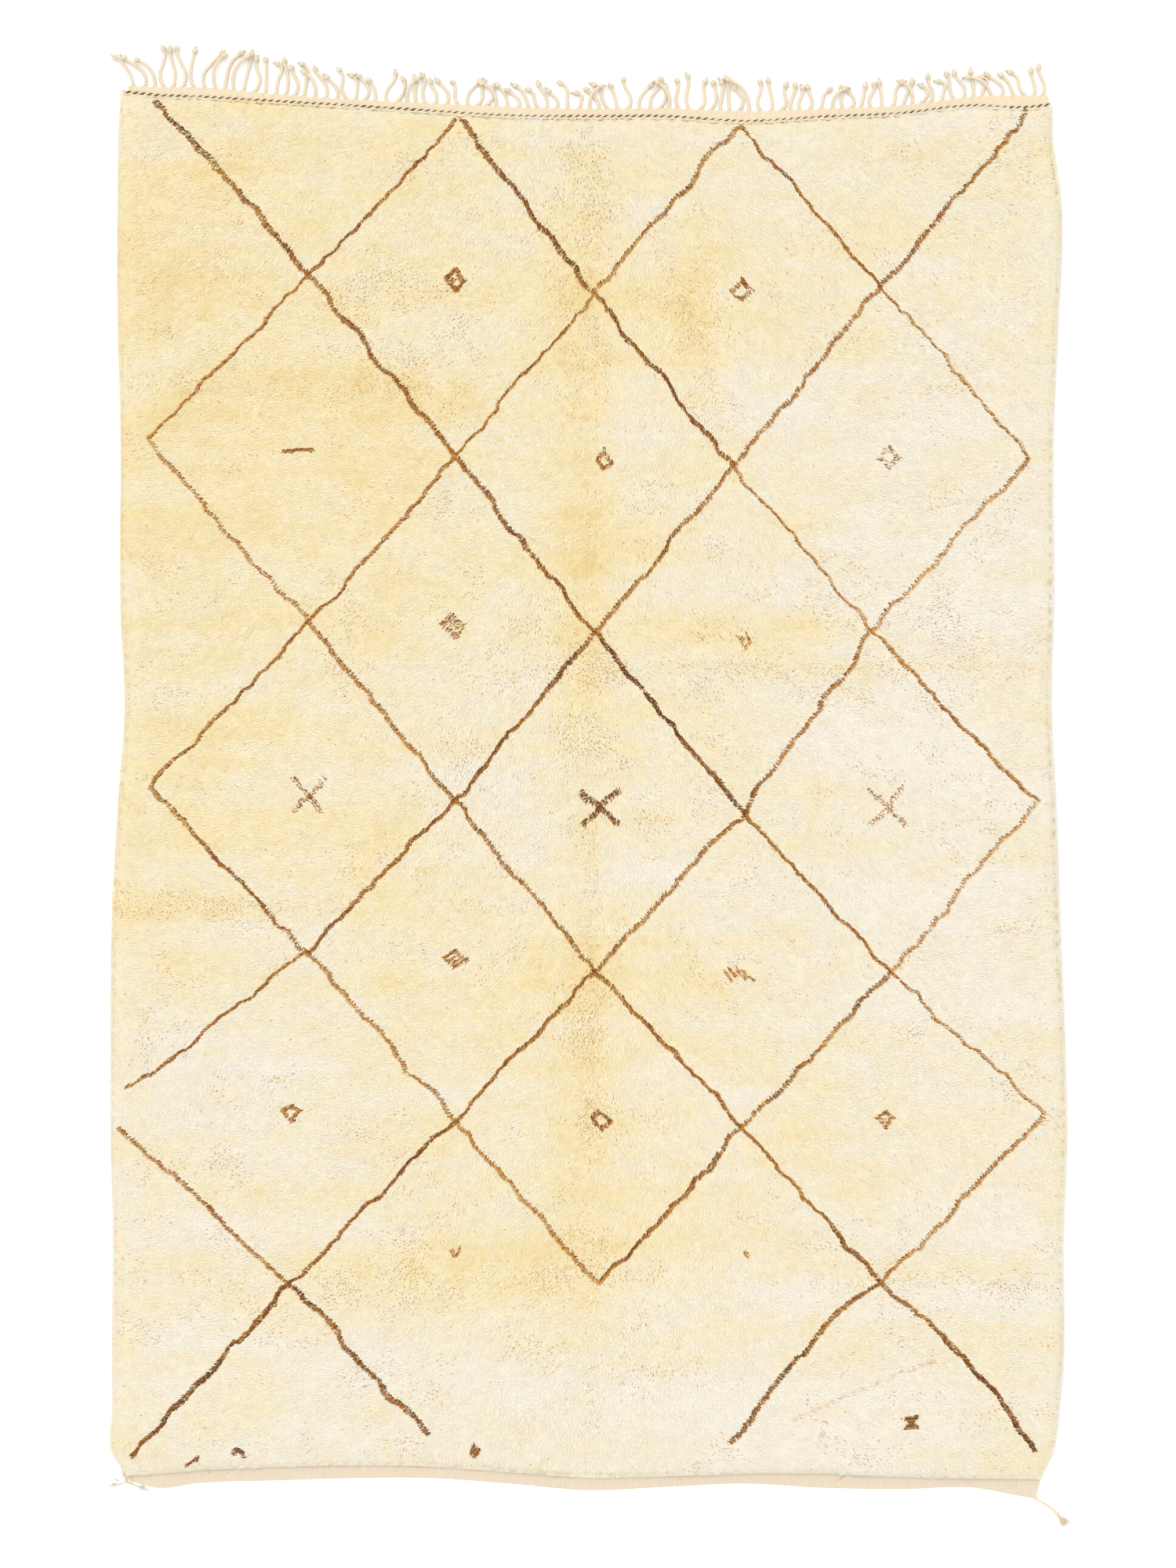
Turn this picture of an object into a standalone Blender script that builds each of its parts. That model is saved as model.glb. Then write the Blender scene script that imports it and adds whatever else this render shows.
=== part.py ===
"""Hand-knotted wool rug, lying flat.

A woven ground carries a deep pile. Its lower end is a bare plain-woven border. Its upper end has a
row of twining, a narrow plain band and a fringe of knotted warp cords. Two corners keep a loose end.
Metres, +Z up. The origin is on the floor under the middle of the rug, and +Y is the fringed end.
"""

import math

import bmesh
import bpy
import numpy as np
from mathutils import Matrix, Vector, noise

# How the pieces meet
PIECE_GAP = 0.0003
BAND_GAP = 0.0005

# Edges sharper than this angle stay sharp, and a face whose normal is within this cosine of +Y is
# a front
SHARP_ANGLE = 50.0
FRONT_COSINE = 0.7

# The woven ground, whose sides lie this far inside the tips of the pile
GROUND_THICKNESS = 0.0035
SIDE_INSET = 0.012
OUTLINE_STEPS = 26

# The pile: a lumpy slab, lower along its rim, where locks stand out of it
PILE_HEIGHT = 0.021
RIM_SHARE = 0.55
SHOULDER_SHARE = 0.011
CELLS_ACROSS = 34
CELLS_ALONG = 50
SIDE_LOCK_REACH = 0.009
END_LOCK_REACH = 0.005
LOCK_LEAST = 0.55
LOCK_SPREAD = 0.017
SIDE_LOCK_TIP = 0.004
END_LOCK_TIP = 0.008
BROAD_LUMP = {"size": 0.26, "height": 0.0065}
SMALL_LUMP = {"size": 0.11, "height": 0.0060}

# The twined row, whose stitches are thick and thin by turns
ROW_RADIUS = 0.0038
ROW_START = -1.010
ROW_END = 1.004
ROW_STITCHES = 259
THIN_STITCH = 0.68

# The band above the row, and the cords drawn out of it
BAND_THICKNESS = 0.003
BAND_MARGIN = 0.008
CORD_WIDTH = 0.0064
CORD_HEIGHT = 0.0060
CORD_TOP_SHARE = 0.65
CORD_FIRST = -0.988
CORD_LAST = 0.990
CORD_SPACING = 0.0125
CORD_WANDER = 0.0028
CORD_WANDER_STEP = 7.3
LENGTH_WANDER = 0.10
LENGTH_WANDER_STEP = 3.1
CORD_SHARES = (0.12, 0.32, 0.54, 0.76, 0.86, 0.93, 1.0)
KNOT_WIDTH = 0.0100
KNOT_HEIGHT = 0.0088
FRAY_WIDTH = 0.0066
FRAY_HEIGHT = 0.0030

# The loose cord at the lower right corner: the place and turn of its tassel's head, and the
# cord's line back to the corner and the tassel's locks, seen from the head with the tassel up
TAIL_PLACE = (1.0215, -1.5745)
TAIL_TURN = -142.0
TAIL_WIDTH = 0.0056
TAIL_HEIGHT = 0.0056
TAIL_LINE = ((0.001, -0.010), (0.003, -0.021), (0.007, -0.032), (0.011, -0.042), (0.0148, -0.0512))
HEAD_EDGES = (-0.0048, -0.0016, 0.0016, 0.0048)
HEAD_DEPTH = 0.006
HEAD_HEIGHT = 0.0072
LOCK_WIDTH = 0.0052
LOCK_HEIGHT = 0.0042
LOCK_LENGTHS = (0.031, 0.027, 0.029)
LOCK_TURNS = (17.0, 0.0, -18.0)

# The looped knot at the lower left corner: a cord that comes in on the floor beside the ground's
# lower edge, goes once round clockwise as it rises, passes over itself and comes down to the left
LOOP_CENTRE = (-0.9990, -1.4980)
LOOP_RADIUS = 0.0068
LOOP_WIDTH = 0.0044
LOOP_HEIGHT = 0.0042
LOOP_STEPS = 10
LOOP_START = 246.0
LOOP_TURN = -372.0
LOOP_RISE = 0.0086
LOOP_COLUMNS = ("x", "y", "lift", "share")
LOOP_IN = (
    (-0.9570, -1.5215, 0.0000, 0.55),
    (-0.9740, -1.5165, 0.0000, 0.80),
    (-0.9890, -1.5095, 0.0000, 1.00),
)
LOOP_OUT = (
    (-1.0120, -1.5060, 0.0080, 1.00),
    (-1.0220, -1.5090, 0.0025, 0.85),
    (-1.0320, -1.5120, 0.0000, 0.65),
    (-1.0430, -1.5135, 0.0000, 0.35),
)

# The rug's two ends, as places along Y over a place across X
END_COLUMNS = ("across", "kilim_edge", "pile_foot", "twined_row", "fringe_root", "cord_length")
END_ROWS = (
    (-1.020, -1.491, -1.486, 1.520, 1.532, 0.076),
    (-0.935, -1.515, -1.481, 1.511, 1.528, 0.090),
    (-0.850, -1.505, -1.474, 1.508, 1.528, 0.092),
    (-0.680, -1.499, -1.467, 1.498, 1.513, 0.080),
    (-0.510, -1.494, -1.462, 1.488, 1.501, 0.066),
    (-0.340, -1.494, -1.465, 1.477, 1.493, 0.063),
    (-0.170, -1.506, -1.477, 1.467, 1.485, 0.056),
    (0.000, -1.520, -1.489, 1.465, 1.481, 0.059),
    (0.170, -1.513, -1.486, 1.465, 1.482, 0.070),
    (0.340, -1.506, -1.481, 1.455, 1.476, 0.076),
    (0.510, -1.515, -1.481, 1.464, 1.481, 0.051),
    (0.680, -1.518, -1.488, 1.472, 1.488, 0.061),
    (0.850, -1.516, -1.491, 1.489, 1.508, 0.062),
    (0.935, -1.532, -1.492, 1.484, 1.510, 0.060),
    (1.010, -1.546, -1.494, 1.491, 1.510, 0.067),
)

# The rug's two long sides, as places across X of the tips of the pile at a place along Y
SIDE_COLUMNS = ("along", "left", "right")
SIDE_ROWS = (
    (-1.486, -1.006, 0.988),
    (-1.448, -1.032, 1.008),
    (-1.346, -1.035, 1.025),
    (-0.938, -1.034, 1.035),
    (-0.734, -1.039, 1.042),
    (-0.632, -1.039, 1.040),
    (-0.224, -1.034, 1.025),
    (-0.020, -1.022, 1.018),
    (0.184, -1.008, 1.008),
    (0.388, -1.017, 1.013),
    (0.796, -1.017, 1.013),
    (1.000, -1.023, 1.022),
    (1.306, -1.023, 1.027),
    (1.408, -1.022, 1.012),
    (1.510, -1.017, 1.010),
)

# Soft troughs where the pile parts, each along a straight line
CREASE_COLUMNS = ("x_start", "y_start", "x_end", "y_end", "depth", "half_width")
CREASE_ROWS = (
    (0.010, 1.480, 0.006, -1.500, 0.0060, 0.040),
    (0.136, 1.220, 0.255, 0.950, 0.0040, 0.040),
    (0.255, 0.950, 0.323, 0.690, 0.0040, 0.040),
    (0.020, 0.250, 1.020, 0.262, 0.0050, 0.045),
    (-1.030, -0.258, -0.100, -0.250, 0.0050, 0.045),
    (-1.030, -1.060, -0.500, -1.050, 0.0050, 0.045),
    (0.400, -1.062, 1.040, -1.070, 0.0050, 0.045),
    (-1.020, 0.880, -0.250, 0.875, 0.0030, 0.045),
)

# Ways a cord lies: where its middle and its tip are from its root, as shares of its length
LAYS = {
    "i": {"middle": (-0.03, 0.52), "tip": (-0.10, 0.99)},
    "l": {"middle": (-0.12, 0.51), "tip": (-0.32, 0.94)},
    "L": {"middle": (-0.20, 0.48), "tip": (-0.60, 0.80)},
    "h": {"middle": (-0.02, 0.58), "tip": (-0.42, 0.88)},
    "H": {"middle": (-0.16, 0.46), "tip": (-0.78, 0.62)},
    "c": {"middle": (-0.20, 0.54), "tip": (-0.10, 0.97)},
    "r": {"middle": (0.12, 0.48), "tip": (0.22, 0.96)},
    "R": {"middle": (0.08, 0.46), "tip": (0.48, 0.87)},
}

# The lay of each cord, from left to right
CORD_LAYS = (
    "LLLiiicRlRliilhilhhlLlhLLrhiil"
    "lLlRiHlLLLLlLhHLLLliRlLliirLll"
    "LciirlllRiiLrliRlLHiHlliHlLLLii"
)

# Linear colours
CREAM_WOOL = (0.86, 0.76, 0.56, 1.0)
GROUND_WOOL = (0.79, 0.68, 0.50, 1.0)
CORD_WOOL = (0.84, 0.74, 0.58, 1.0)
TWINED_WOOL = (0.36, 0.20, 0.09, 1.0)
WOOL_ROUGHNESS = 0.9


def columns(names, rows):
    """The table as one array for each column name."""
    return dict(zip(names, np.array(rows).T))


ENDS = columns(END_COLUMNS, END_ROWS)
SIDES = columns(SIDE_COLUMNS, SIDE_ROWS)


def smooth(at, places, values):
    """The value at a place, on a smooth curve through the table's values, level beyond its ends."""
    at = min(max(at, places[0]), places[-1])
    slopes = np.gradient(values, places)
    i = min(int(np.searchsorted(places, at, side="right")) - 1, len(places) - 2)
    span = places[i + 1] - places[i]
    t = (at - places[i]) / span
    start = (1 + 2 * t) * (1 - t) ** 2 * values[i] + t * (1 - t) ** 2 * span * slopes[i]
    end = t * t * (3 - 2 * t) * values[i + 1] - t * t * (1 - t) * span * slopes[i + 1]
    return float(start + end)


def end_line(column, x):
    """Where one of the lines across the rug is along Y, or a cord's length, at this x."""
    return smooth(x, ENDS["across"], ENDS[column])


def side_line(column, y):
    """Where the left or the right side of the pile is along X, at this y."""
    return smooth(y, SIDES["along"], SIDES[column])


def mix(start, end, share):
    return start + (end - start) * share


def clear_scene():
    for obj in list(bpy.data.objects):
        bpy.data.objects.remove(obj)


def new_collection(name):
    collection = bpy.data.collections.new(name)
    bpy.context.scene.collection.children.link(collection)
    return collection


def wool(name, colour):
    material = bpy.data.materials.new(name)
    material.use_nodes = True
    shader = material.node_tree.nodes["Principled BSDF"]
    shader.inputs["Base Color"].default_value = colour
    shader.inputs["Roughness"].default_value = WOOL_ROUGHNESS
    shader.inputs["Metallic"].default_value = 0.0
    return material


def add_object(name, data, collection, material):
    obj = bpy.data.objects.new(name, data)
    data.materials.append(material)
    collection.objects.link(obj)
    return obj


def add_mesh(name, shape, collection, material):
    """A smooth-shaded object from a bmesh, which is freed."""
    bmesh.ops.triangulate(shape, faces=[face for face in shape.faces if len(face.verts) > 4])
    bmesh.ops.recalc_face_normals(shape, faces=shape.faces)
    mesh = bpy.data.meshes.new(name)
    shape.to_mesh(mesh)
    shape.free()
    mesh.shade_smooth()
    mesh.set_sharp_from_angle(angle=math.radians(SHARP_ANGLE))
    return add_object(name, mesh, collection, material)


def spline_of(curve, points):
    spline = curve.splines.new("POLY")
    spline.points.add(len(points) - 1)
    for point, place in zip(spline.points, points):
        point.co = (*place, 1.0)
    return spline


def upper_places():
    """The places across X of the points along the ground's upper edge."""
    left = side_line("left", ENDS["twined_row"][0]) + SIDE_INSET
    right = side_line("right", ENDS["twined_row"][-1]) - SIDE_INSET
    return np.linspace(left, right, OUTLINE_STEPS + 1)


def upper_edge(x):
    """The ground's edge beyond the twined row, straight from point to point."""
    places = upper_places()
    return float(np.interp(x, places, [end_line("twined_row", p) + ROW_RADIUS for p in places]))


def ground_outline():
    """The ground's outline, anticlockwise from its lower left corner."""
    low_left = side_line("left", ENDS["kilim_edge"][0]) + SIDE_INSET
    low_right = side_line("right", ENDS["kilim_edge"][-1]) - SIDE_INSET
    low = np.linspace(low_left, low_right, OUTLINE_STEPS + 1)
    high = upper_places()[::-1]
    shares = np.linspace(0.0, 1.0, OUTLINE_STEPS + 1)[1:-1]
    points = [(x, end_line("kilim_edge", x), 0.0) for x in low]
    for share in shares:
        y = mix(end_line("kilim_edge", low[-1]), upper_edge(high[0]), share)
        points.append((side_line("right", y) - SIDE_INSET, y, 0.0))
    points += [(x, upper_edge(x), 0.0) for x in high]
    for share in shares:
        y = mix(upper_edge(high[-1]), end_line("kilim_edge", low[0]), share)
        points.append((side_line("left", y) + SIDE_INSET, y, 0.0))
    return points


def build_ground(collection):
    curve = bpy.data.curves.new("ground_weave", "CURVE")
    curve.dimensions = "2D"
    curve.fill_mode = "BOTH"
    curve.extrude = GROUND_THICKNESS / 2
    spline_of(curve, ground_outline()).use_cyclic_u = True
    ground = add_object("ground_weave", curve, collection, wool("ground wool", GROUND_WOOL))
    ground.location.z = GROUND_THICKNESS / 2


def lump(x, y, size, height):
    return height * noise.noise(Vector((x, y, 0.0)) / size)


def crease_depth(x, y, crease):
    """How far a crease lowers the pile here, fading away from its line."""
    start = Vector((crease["x_start"], crease["y_start"]))
    line = Vector((crease["x_end"], crease["y_end"])) - start
    point = Vector((x, y))
    share = min(max((point - start).dot(line) / line.length_squared, 0.0), 1.0)
    away = (point - start - line * share).length
    return crease["depth"] * math.exp(-((away / crease["half_width"]) ** 2))


def pile_top(x, y):
    """The height of the pile's face over the ground, in the open field."""
    creases = [dict(zip(CREASE_COLUMNS, row)) for row in CREASE_ROWS]
    lumps = lump(x, y, **BROAD_LUMP) + lump(x, y, **SMALL_LUMP)
    return PILE_HEIGHT + lumps - max(crease_depth(x, y, crease) for crease in creases)


def pile_place(across, along):
    """The point of the pile's plan at these shares of its width and length."""
    middle_y = mix(SIDES["along"][0], SIDES["along"][-1], along)
    left = side_line("left", middle_y) + SIDE_LOCK_REACH
    right = side_line("right", middle_y) - SIDE_LOCK_REACH
    x = mix(left, right, across)
    foot = end_line("pile_foot", x) + END_LOCK_REACH
    head = end_line("twined_row", x) - ROW_RADIUS - 2 * PIECE_GAP - END_LOCK_REACH
    return x, mix(foot, head, along)


def with_shoulder(share, cells):
    """The share moved so that the first and last cell are narrow, for a steep shoulder."""
    places = (0.0, 1 / cells, 1 - 1 / cells, 1.0)
    return float(np.interp(share, places, (0.0, SHOULDER_SHARE, 1 - SHOULDER_SHARE, 1.0)))


def build_pile(collection):
    """A lumpy slab on the ground. Each piece of its wall is drawn out to a lock."""
    base = GROUND_THICKNESS + PIECE_GAP
    shape = bmesh.new()
    bmesh.ops.create_grid(shape, x_segments=CELLS_ACROSS, y_segments=CELLS_ALONG, size=0.5)
    bmesh.ops.subdivide_edges(shape, edges=[e for e in shape.edges if e.is_boundary], cuts=1)
    for vert in shape.verts:
        across = with_shoulder(vert.co.x + 0.5, CELLS_ACROSS)
        along = with_shoulder(vert.co.y + 0.5, CELLS_ALONG)
        x, y = pile_place(across, along)
        share = RIM_SHARE if vert.is_boundary else 1.0
        vert.co = (x, y, base + share * pile_top(x, y))
    rim = [edge for edge in shape.edges if edge.is_boundary]
    wall = bmesh.ops.extrude_edge_only(shape, edges=rim)["geom"]
    for vert in (v for v in wall if isinstance(v, bmesh.types.BMVert)):
        vert.co.z = base
    foot = [e for e in wall if isinstance(e, bmesh.types.BMEdge) and e.is_boundary]
    bmesh.ops.contextual_create(shape, geom=foot)
    faces = [face for face in wall if isinstance(face, bmesh.types.BMFace)]
    bmesh.ops.recalc_face_normals(shape, faces=shape.faces)
    directions = [face.normal.copy() for face in faces]
    tips = bmesh.ops.poke(shape, faces=faces)["verts"]
    for tip, outward in zip(tips, directions):
        on_side = abs(outward.x) > abs(outward.y)
        reach = SIDE_LOCK_REACH if on_side else END_LOCK_REACH
        share = min(1.0, LOCK_LEAST + abs(noise.noise(tip.co / LOCK_SPREAD)))
        tip.co += outward * reach * share
        tip.co.z = SIDE_LOCK_TIP if on_side else END_LOCK_TIP
    add_mesh("pile", shape, collection, wool("pile wool", CREAM_WOOL))


def build_row(collection):
    curve = bpy.data.curves.new("twined_row", "CURVE")
    curve.dimensions = "3D"
    curve.bevel_depth = ROW_RADIUS
    curve.bevel_resolution = 0
    curve.use_fill_caps = True
    height = GROUND_THICKNESS + PIECE_GAP + ROW_RADIUS
    places = np.linspace(ROW_START, ROW_END, ROW_STITCHES)
    spline = spline_of(curve, [(x, end_line("twined_row", x), height) for x in places])
    for point in list(spline.points)[1::2]:
        point.radius = THIN_STITCH
    add_object("twined_row", curve, collection, wool("twined wool", TWINED_WOOL))


def facing(faces, direction):
    """The face that looks most nearly this way."""
    for face in faces:
        face.normal_update()
    return max(faces, key=lambda face: face.normal.dot(Vector(direction)))


def draw_out(shape, face, section):
    """Extrudes a four-sided face to a new section, which gives a corner for each side and level."""
    face.normal_update()
    forward = face.normal
    left = Vector((-forward.y, forward.x, 0.0))
    centre = face.calc_center_median()
    signs = [((v.co - centre).dot(left) > 0, v.co.z > centre.z) for v in face.verts]
    new = bmesh.ops.extrude_discrete_faces(shape, faces=[face])["faces"][0]
    for vert, (on_left, on_top) in zip(new.verts, signs):
        vert.co = section(on_left, on_top)
    return new


def row_of_boxes(shape, edges, section):
    """Boxes side by side along X, between the edges. section gives the corners at an edge."""
    for vert in bmesh.ops.create_cube(shape, size=1.0)["verts"]:
        edge = edges[1] if vert.co.x > 0 else edges[0]
        vert.co = section(edge)(vert.co.y > 0, vert.co.z > 0)
    face = facing(shape.faces, (1, 0, 0))
    for edge in edges[2:]:
        face = draw_out(shape, face, section(edge))


def row_section(back, front, height):
    """The corners of a row of boxes that lies on the floor, from its back to its front."""

    def at_edge(x):
        def corner(on_left, on_top):
            return Vector((x, front(x) if on_left else back(x), height if on_top else 0.0))

        return corner

    return at_edge


def fronts(shape):
    """The row's faces that look along +Y, from left to right."""
    for face in shape.faces:
        face.normal_update()
    found = [face for face in shape.faces if face.normal.y > FRONT_COSINE]
    return sorted(found, key=lambda face: face.calc_center_median().x)


def cord_section(place, heading, width, height):
    """The section of a cord whose foot is at this place: flat below, narrower on top."""
    left = Vector((-heading.y, heading.x, 0.0)).normalized()

    def corner(on_left, on_top):
        half = width / 2 * (CORD_TOP_SHARE if on_top else 1.0)
        up = Vector((0.0, 0.0, height if on_top else 0.0))
        return place + left * (half if on_left else -half) + up

    return corner


def draw_cord(shape, face, stations):
    """Draws a face out along a cord, through stations of (place, width, height)."""
    places = [place for place, _, _ in stations]
    for i, (place, width, height) in enumerate(stations):
        heading = places[min(i + 1, len(places) - 1)] - places[max(i - 1, 0)]
        face = draw_out(shape, face, cord_section(place, heading, width, height))


def cord_root(number):
    """Where a cord leaves the band: evenly spaced, but for a little wandering."""
    share = number / (len(CORD_LAYS) - 1)
    x = mix(CORD_FIRST, CORD_LAST, share) + CORD_WANDER * math.sin(CORD_WANDER_STEP * number)
    return x, end_line("fringe_root", x)


def cord_route(number):
    """The cord's line from root to tip, as rows of x and y, before its neighbour holds it off."""
    x, y = cord_root(number)
    wander = 1 + LENGTH_WANDER * math.sin(LENGTH_WANDER_STEP * number)
    length = end_line("cord_length", x) * wander
    lay = LAYS[CORD_LAYS[number]]
    shares = np.array(CORD_SHARES)[:, None]
    bend = 4 * shares * (1 - shares)
    middle = np.array(lay["middle"])
    tip = np.array(lay["tip"])
    return np.array((x, y)) + length * (shares * tip + bend * (middle - tip / 2))


def held_off(route, neighbour):
    """The route leaning away from its left neighbour, so that no point is nearer than the spacing."""
    least = np.interp(route[:, 1], neighbour[:, 1], neighbour[:, 0]) + CORD_SPACING
    push = np.maximum(least - route[:, 0], 0.0)
    shares = np.array(CORD_SHARES)
    spread = np.minimum(shares[:, None] / shares[None, :], 1.0)
    return route + np.column_stack(((spread * push).max(axis=1), np.zeros(len(route))))


def cord_routes():
    """All the cords' lines, from left to right."""
    routes = [cord_route(0)]
    for number in range(1, len(CORD_LAYS)):
        routes.append(held_off(cord_route(number), routes[-1]))
    return routes


def build_fringe(collection):
    """The band, and a knotted cord drawn out of its front at each root."""
    roots = [cord_root(number)[0] for number in range(len(CORD_LAYS))]
    edges = [root + side * CORD_WIDTH / 2 for root in roots for side in (-1, 1)]
    edges = [edges[0] - BAND_MARGIN, *edges, edges[-1] + BAND_MARGIN]
    shape = bmesh.new()
    row_of_boxes(
        shape,
        edges,
        row_section(
            lambda x: upper_edge(x) + BAND_GAP,
            lambda x: end_line("fringe_root", x),
            BAND_THICKNESS,
        ),
    )
    widths = [CORD_WIDTH] * 4 + [KNOT_WIDTH, CORD_WIDTH, FRAY_WIDTH]
    heights = [CORD_HEIGHT] * 4 + [KNOT_HEIGHT, CORD_HEIGHT, FRAY_HEIGHT]
    for root, route in zip(fronts(shape)[1::2], cord_routes()):
        places = [Vector((x, y, 0.0)) for x, y in route]
        draw_cord(shape, root, list(zip(places, widths, heights)))
    add_mesh("top_fringe", shape, collection, wool("fringe wool", CORD_WOOL))


def build_tail(collection):
    """The tassel's head, its three locks drawn out of the front and the cord out of the back."""
    shape = bmesh.new()
    half = HEAD_DEPTH / 2
    row_of_boxes(shape, HEAD_EDGES, row_section(lambda x: -half, lambda x: half, HEAD_HEIGHT))
    back = min(shape.faces, key=lambda face: (face.calc_center_median() - Vector((0, -1, 0))).length)
    for face, length, turn in zip(fronts(shape), LOCK_LENGTHS, LOCK_TURNS):
        root = face.calc_center_median() * Vector((1, 1, 0))
        way = Vector((-math.sin(math.radians(turn)), math.cos(math.radians(turn)), 0.0)) * length
        stations = [
            (root + way * 0.5, LOCK_WIDTH, LOCK_HEIGHT),
            (root + way, LOCK_WIDTH / 2, LOCK_HEIGHT / 2),
        ]
        draw_cord(shape, face, stations)
    line = [(Vector((x, y, 0.0)), TAIL_WIDTH, TAIL_HEIGHT) for x, y in TAIL_LINE]
    draw_cord(shape, back, line)
    turn = Matrix.Rotation(math.radians(TAIL_TURN), 4, "Z")
    shape.transform(Matrix.Translation((*TAIL_PLACE, 0.0)) @ turn)
    add_mesh("corner_tail", shape, collection, wool("tail wool", CORD_WOOL))


def loop_stations():
    """The knot's cord: in along the floor, round the loop as it rises, and down to the floor again."""
    rows = [dict(zip(LOOP_COLUMNS, row)) for row in LOOP_IN]
    for step in range(LOOP_STEPS + 1):
        share = step / LOOP_STEPS
        angle = math.radians(LOOP_START + share * LOOP_TURN)
        x = LOOP_CENTRE[0] + LOOP_RADIUS * math.cos(angle)
        y = LOOP_CENTRE[1] + LOOP_RADIUS * math.sin(angle)
        rows.append({"x": x, "y": y, "lift": LOOP_RISE * share, "share": 1.0})
    rows += [dict(zip(LOOP_COLUMNS, row)) for row in LOOP_OUT]
    return [
        (
            Vector((row["x"], row["y"], row["lift"])),
            LOOP_WIDTH * row["share"],
            LOOP_HEIGHT * row["share"],
        )
        for row in rows
    ]


def build_knot(collection):
    """One length of cord, drawn out from its thin end beside the ground."""
    stations = loop_stations()
    first, width, height = stations[0]
    heading = stations[1][0] - first
    section = cord_section(first, heading, width, height)
    shape = bmesh.new()
    for vert in bmesh.ops.create_cube(shape, size=1.0)["verts"]:
        behind = heading.normalized() * (-width if vert.co.x < 0 else 0.0)
        vert.co = section(vert.co.y > 0, vert.co.z > 0) + behind
    draw_cord(shape, facing(shape.faces, heading), stations[1:])
    add_mesh("corner_knot", shape, collection, wool("knot wool", CORD_WOOL))


def main():
    clear_scene()
    rug = new_collection("beni_ourain_rug")
    build_ground(rug)
    build_pile(rug)
    build_row(rug)
    build_fringe(rug)
    build_tail(rug)
    build_knot(rug)


main()
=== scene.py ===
"""Looks of a hand-knotted wool rug, lying flat, seen from straight above.

The shaggy pile is some 375,000 bent locks on a lumpy bed. Brown locks draw a net of
lozenges and small motifs. The ground shows as a plain-woven border at the lower end. At the upper
end are a twined brown and cream row, a narrow plain band and a fringe of twisted, knotted cords.
"""

import math

import bmesh
import bpy
import numpy as np
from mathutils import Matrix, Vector
from mathutils.bvhtree import BVHTree


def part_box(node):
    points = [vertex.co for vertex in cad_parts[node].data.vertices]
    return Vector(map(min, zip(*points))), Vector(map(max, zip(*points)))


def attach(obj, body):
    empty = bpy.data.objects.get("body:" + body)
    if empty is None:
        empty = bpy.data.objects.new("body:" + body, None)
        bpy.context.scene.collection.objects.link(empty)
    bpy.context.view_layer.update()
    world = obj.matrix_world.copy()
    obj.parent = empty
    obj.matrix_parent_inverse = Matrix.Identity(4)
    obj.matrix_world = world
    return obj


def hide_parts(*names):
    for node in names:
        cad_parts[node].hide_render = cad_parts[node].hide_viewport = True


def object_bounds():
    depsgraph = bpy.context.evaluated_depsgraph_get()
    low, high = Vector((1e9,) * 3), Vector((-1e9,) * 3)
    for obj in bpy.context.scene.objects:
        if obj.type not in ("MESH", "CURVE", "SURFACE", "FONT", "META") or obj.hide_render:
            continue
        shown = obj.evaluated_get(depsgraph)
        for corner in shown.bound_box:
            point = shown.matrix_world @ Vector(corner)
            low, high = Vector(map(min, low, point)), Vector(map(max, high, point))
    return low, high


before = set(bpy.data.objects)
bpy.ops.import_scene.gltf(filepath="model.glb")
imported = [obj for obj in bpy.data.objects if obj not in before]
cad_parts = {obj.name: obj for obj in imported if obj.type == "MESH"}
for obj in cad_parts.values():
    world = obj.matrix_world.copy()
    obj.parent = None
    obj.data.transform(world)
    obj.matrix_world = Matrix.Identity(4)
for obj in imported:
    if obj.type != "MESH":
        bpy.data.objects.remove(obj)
CAD_BOX = [list(corner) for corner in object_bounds()]

# The picture: what it covers along Y, its centre, and the lens
VIEW_LENGTH = 3.40
VIEW_CENTRE = (0.0, 0.0136)
VIEW_HEIGHT = 0.025
LENS = 85.0
SENSOR = 36.0

# Light and floor
WORLD_LIGHT = 0.98
SUN_LIGHT = 1.28
SUN_SOFTNESS = math.radians(60)
SUN_TILT = (math.radians(-20), math.radians(-12), 0.0)
FLOOR_SIDE = 40.0

# The ground and what lies on it
GROUND_THICKNESS = 0.0035
PIECE_GAP = 0.0003
SIDE_INSET = 0.012
KILIM_LEFT = (-1.012, -1.014)
KILIM_RIGHT = (0.974, 0.988)
KILIM_ROWS = 18
YARN_STEP = 0.0025
YARN_RELIEF = 0.00035
UNDER_PILE = 0.014
OUTLINE_STEPS = 26

# Soft marks on the bare end: place, width, length, turn in degrees, colour and strength
GROUND_MARKS = (
    (0.5525, -1.4950, 0.024, 0.005, 32.0, (196, 150, 126), 0.60),
    (0.5400, -1.5020, 0.010, 0.004, 50.0, (196, 150, 126), 0.50),
    (-0.8230, -1.4840, 0.004, 0.003, 0.0, (120, 88, 50), 0.80),
    (-0.7840, -1.4840, 0.003, 0.003, 0.0, (140, 110, 70), 0.70),
    (0.2000, -1.4990, 0.004, 0.003, 0.0, (150, 112, 70), 0.70),
)

# The twined row: a brown ply and a cream one, round one line
ROW_RADIUS = 0.0038
ROW_START = -1.010
ROW_END = 1.004
ROW_PITCH = 0.0155
ROW_STEPS = 10
ROW_RISE = 0.0024
ROW_COLUMNS = ("radius", "out", "wander", "pale", "deep")
ROW_PLIES = {
    "twined_brown": (0.0017, 0.0012, 0.38, (134, 92, 48), (72, 44, 20)),
    "twined_cream": (0.0018, 0.0010, 0.05, (234, 220, 192), (222, 205, 172)),
}

# A thin twisted cord along the lower edge
EDGE_CORD_RADIUS = 0.0011
EDGE_CORD_PITCH = 0.0085
EDGE_CORD_START = -1.004
EDGE_CORD_END = 0.972
EDGE_CORD_OUT = 0.0002
EDGE_CORD_HEIGHT = 0.0021

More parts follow.
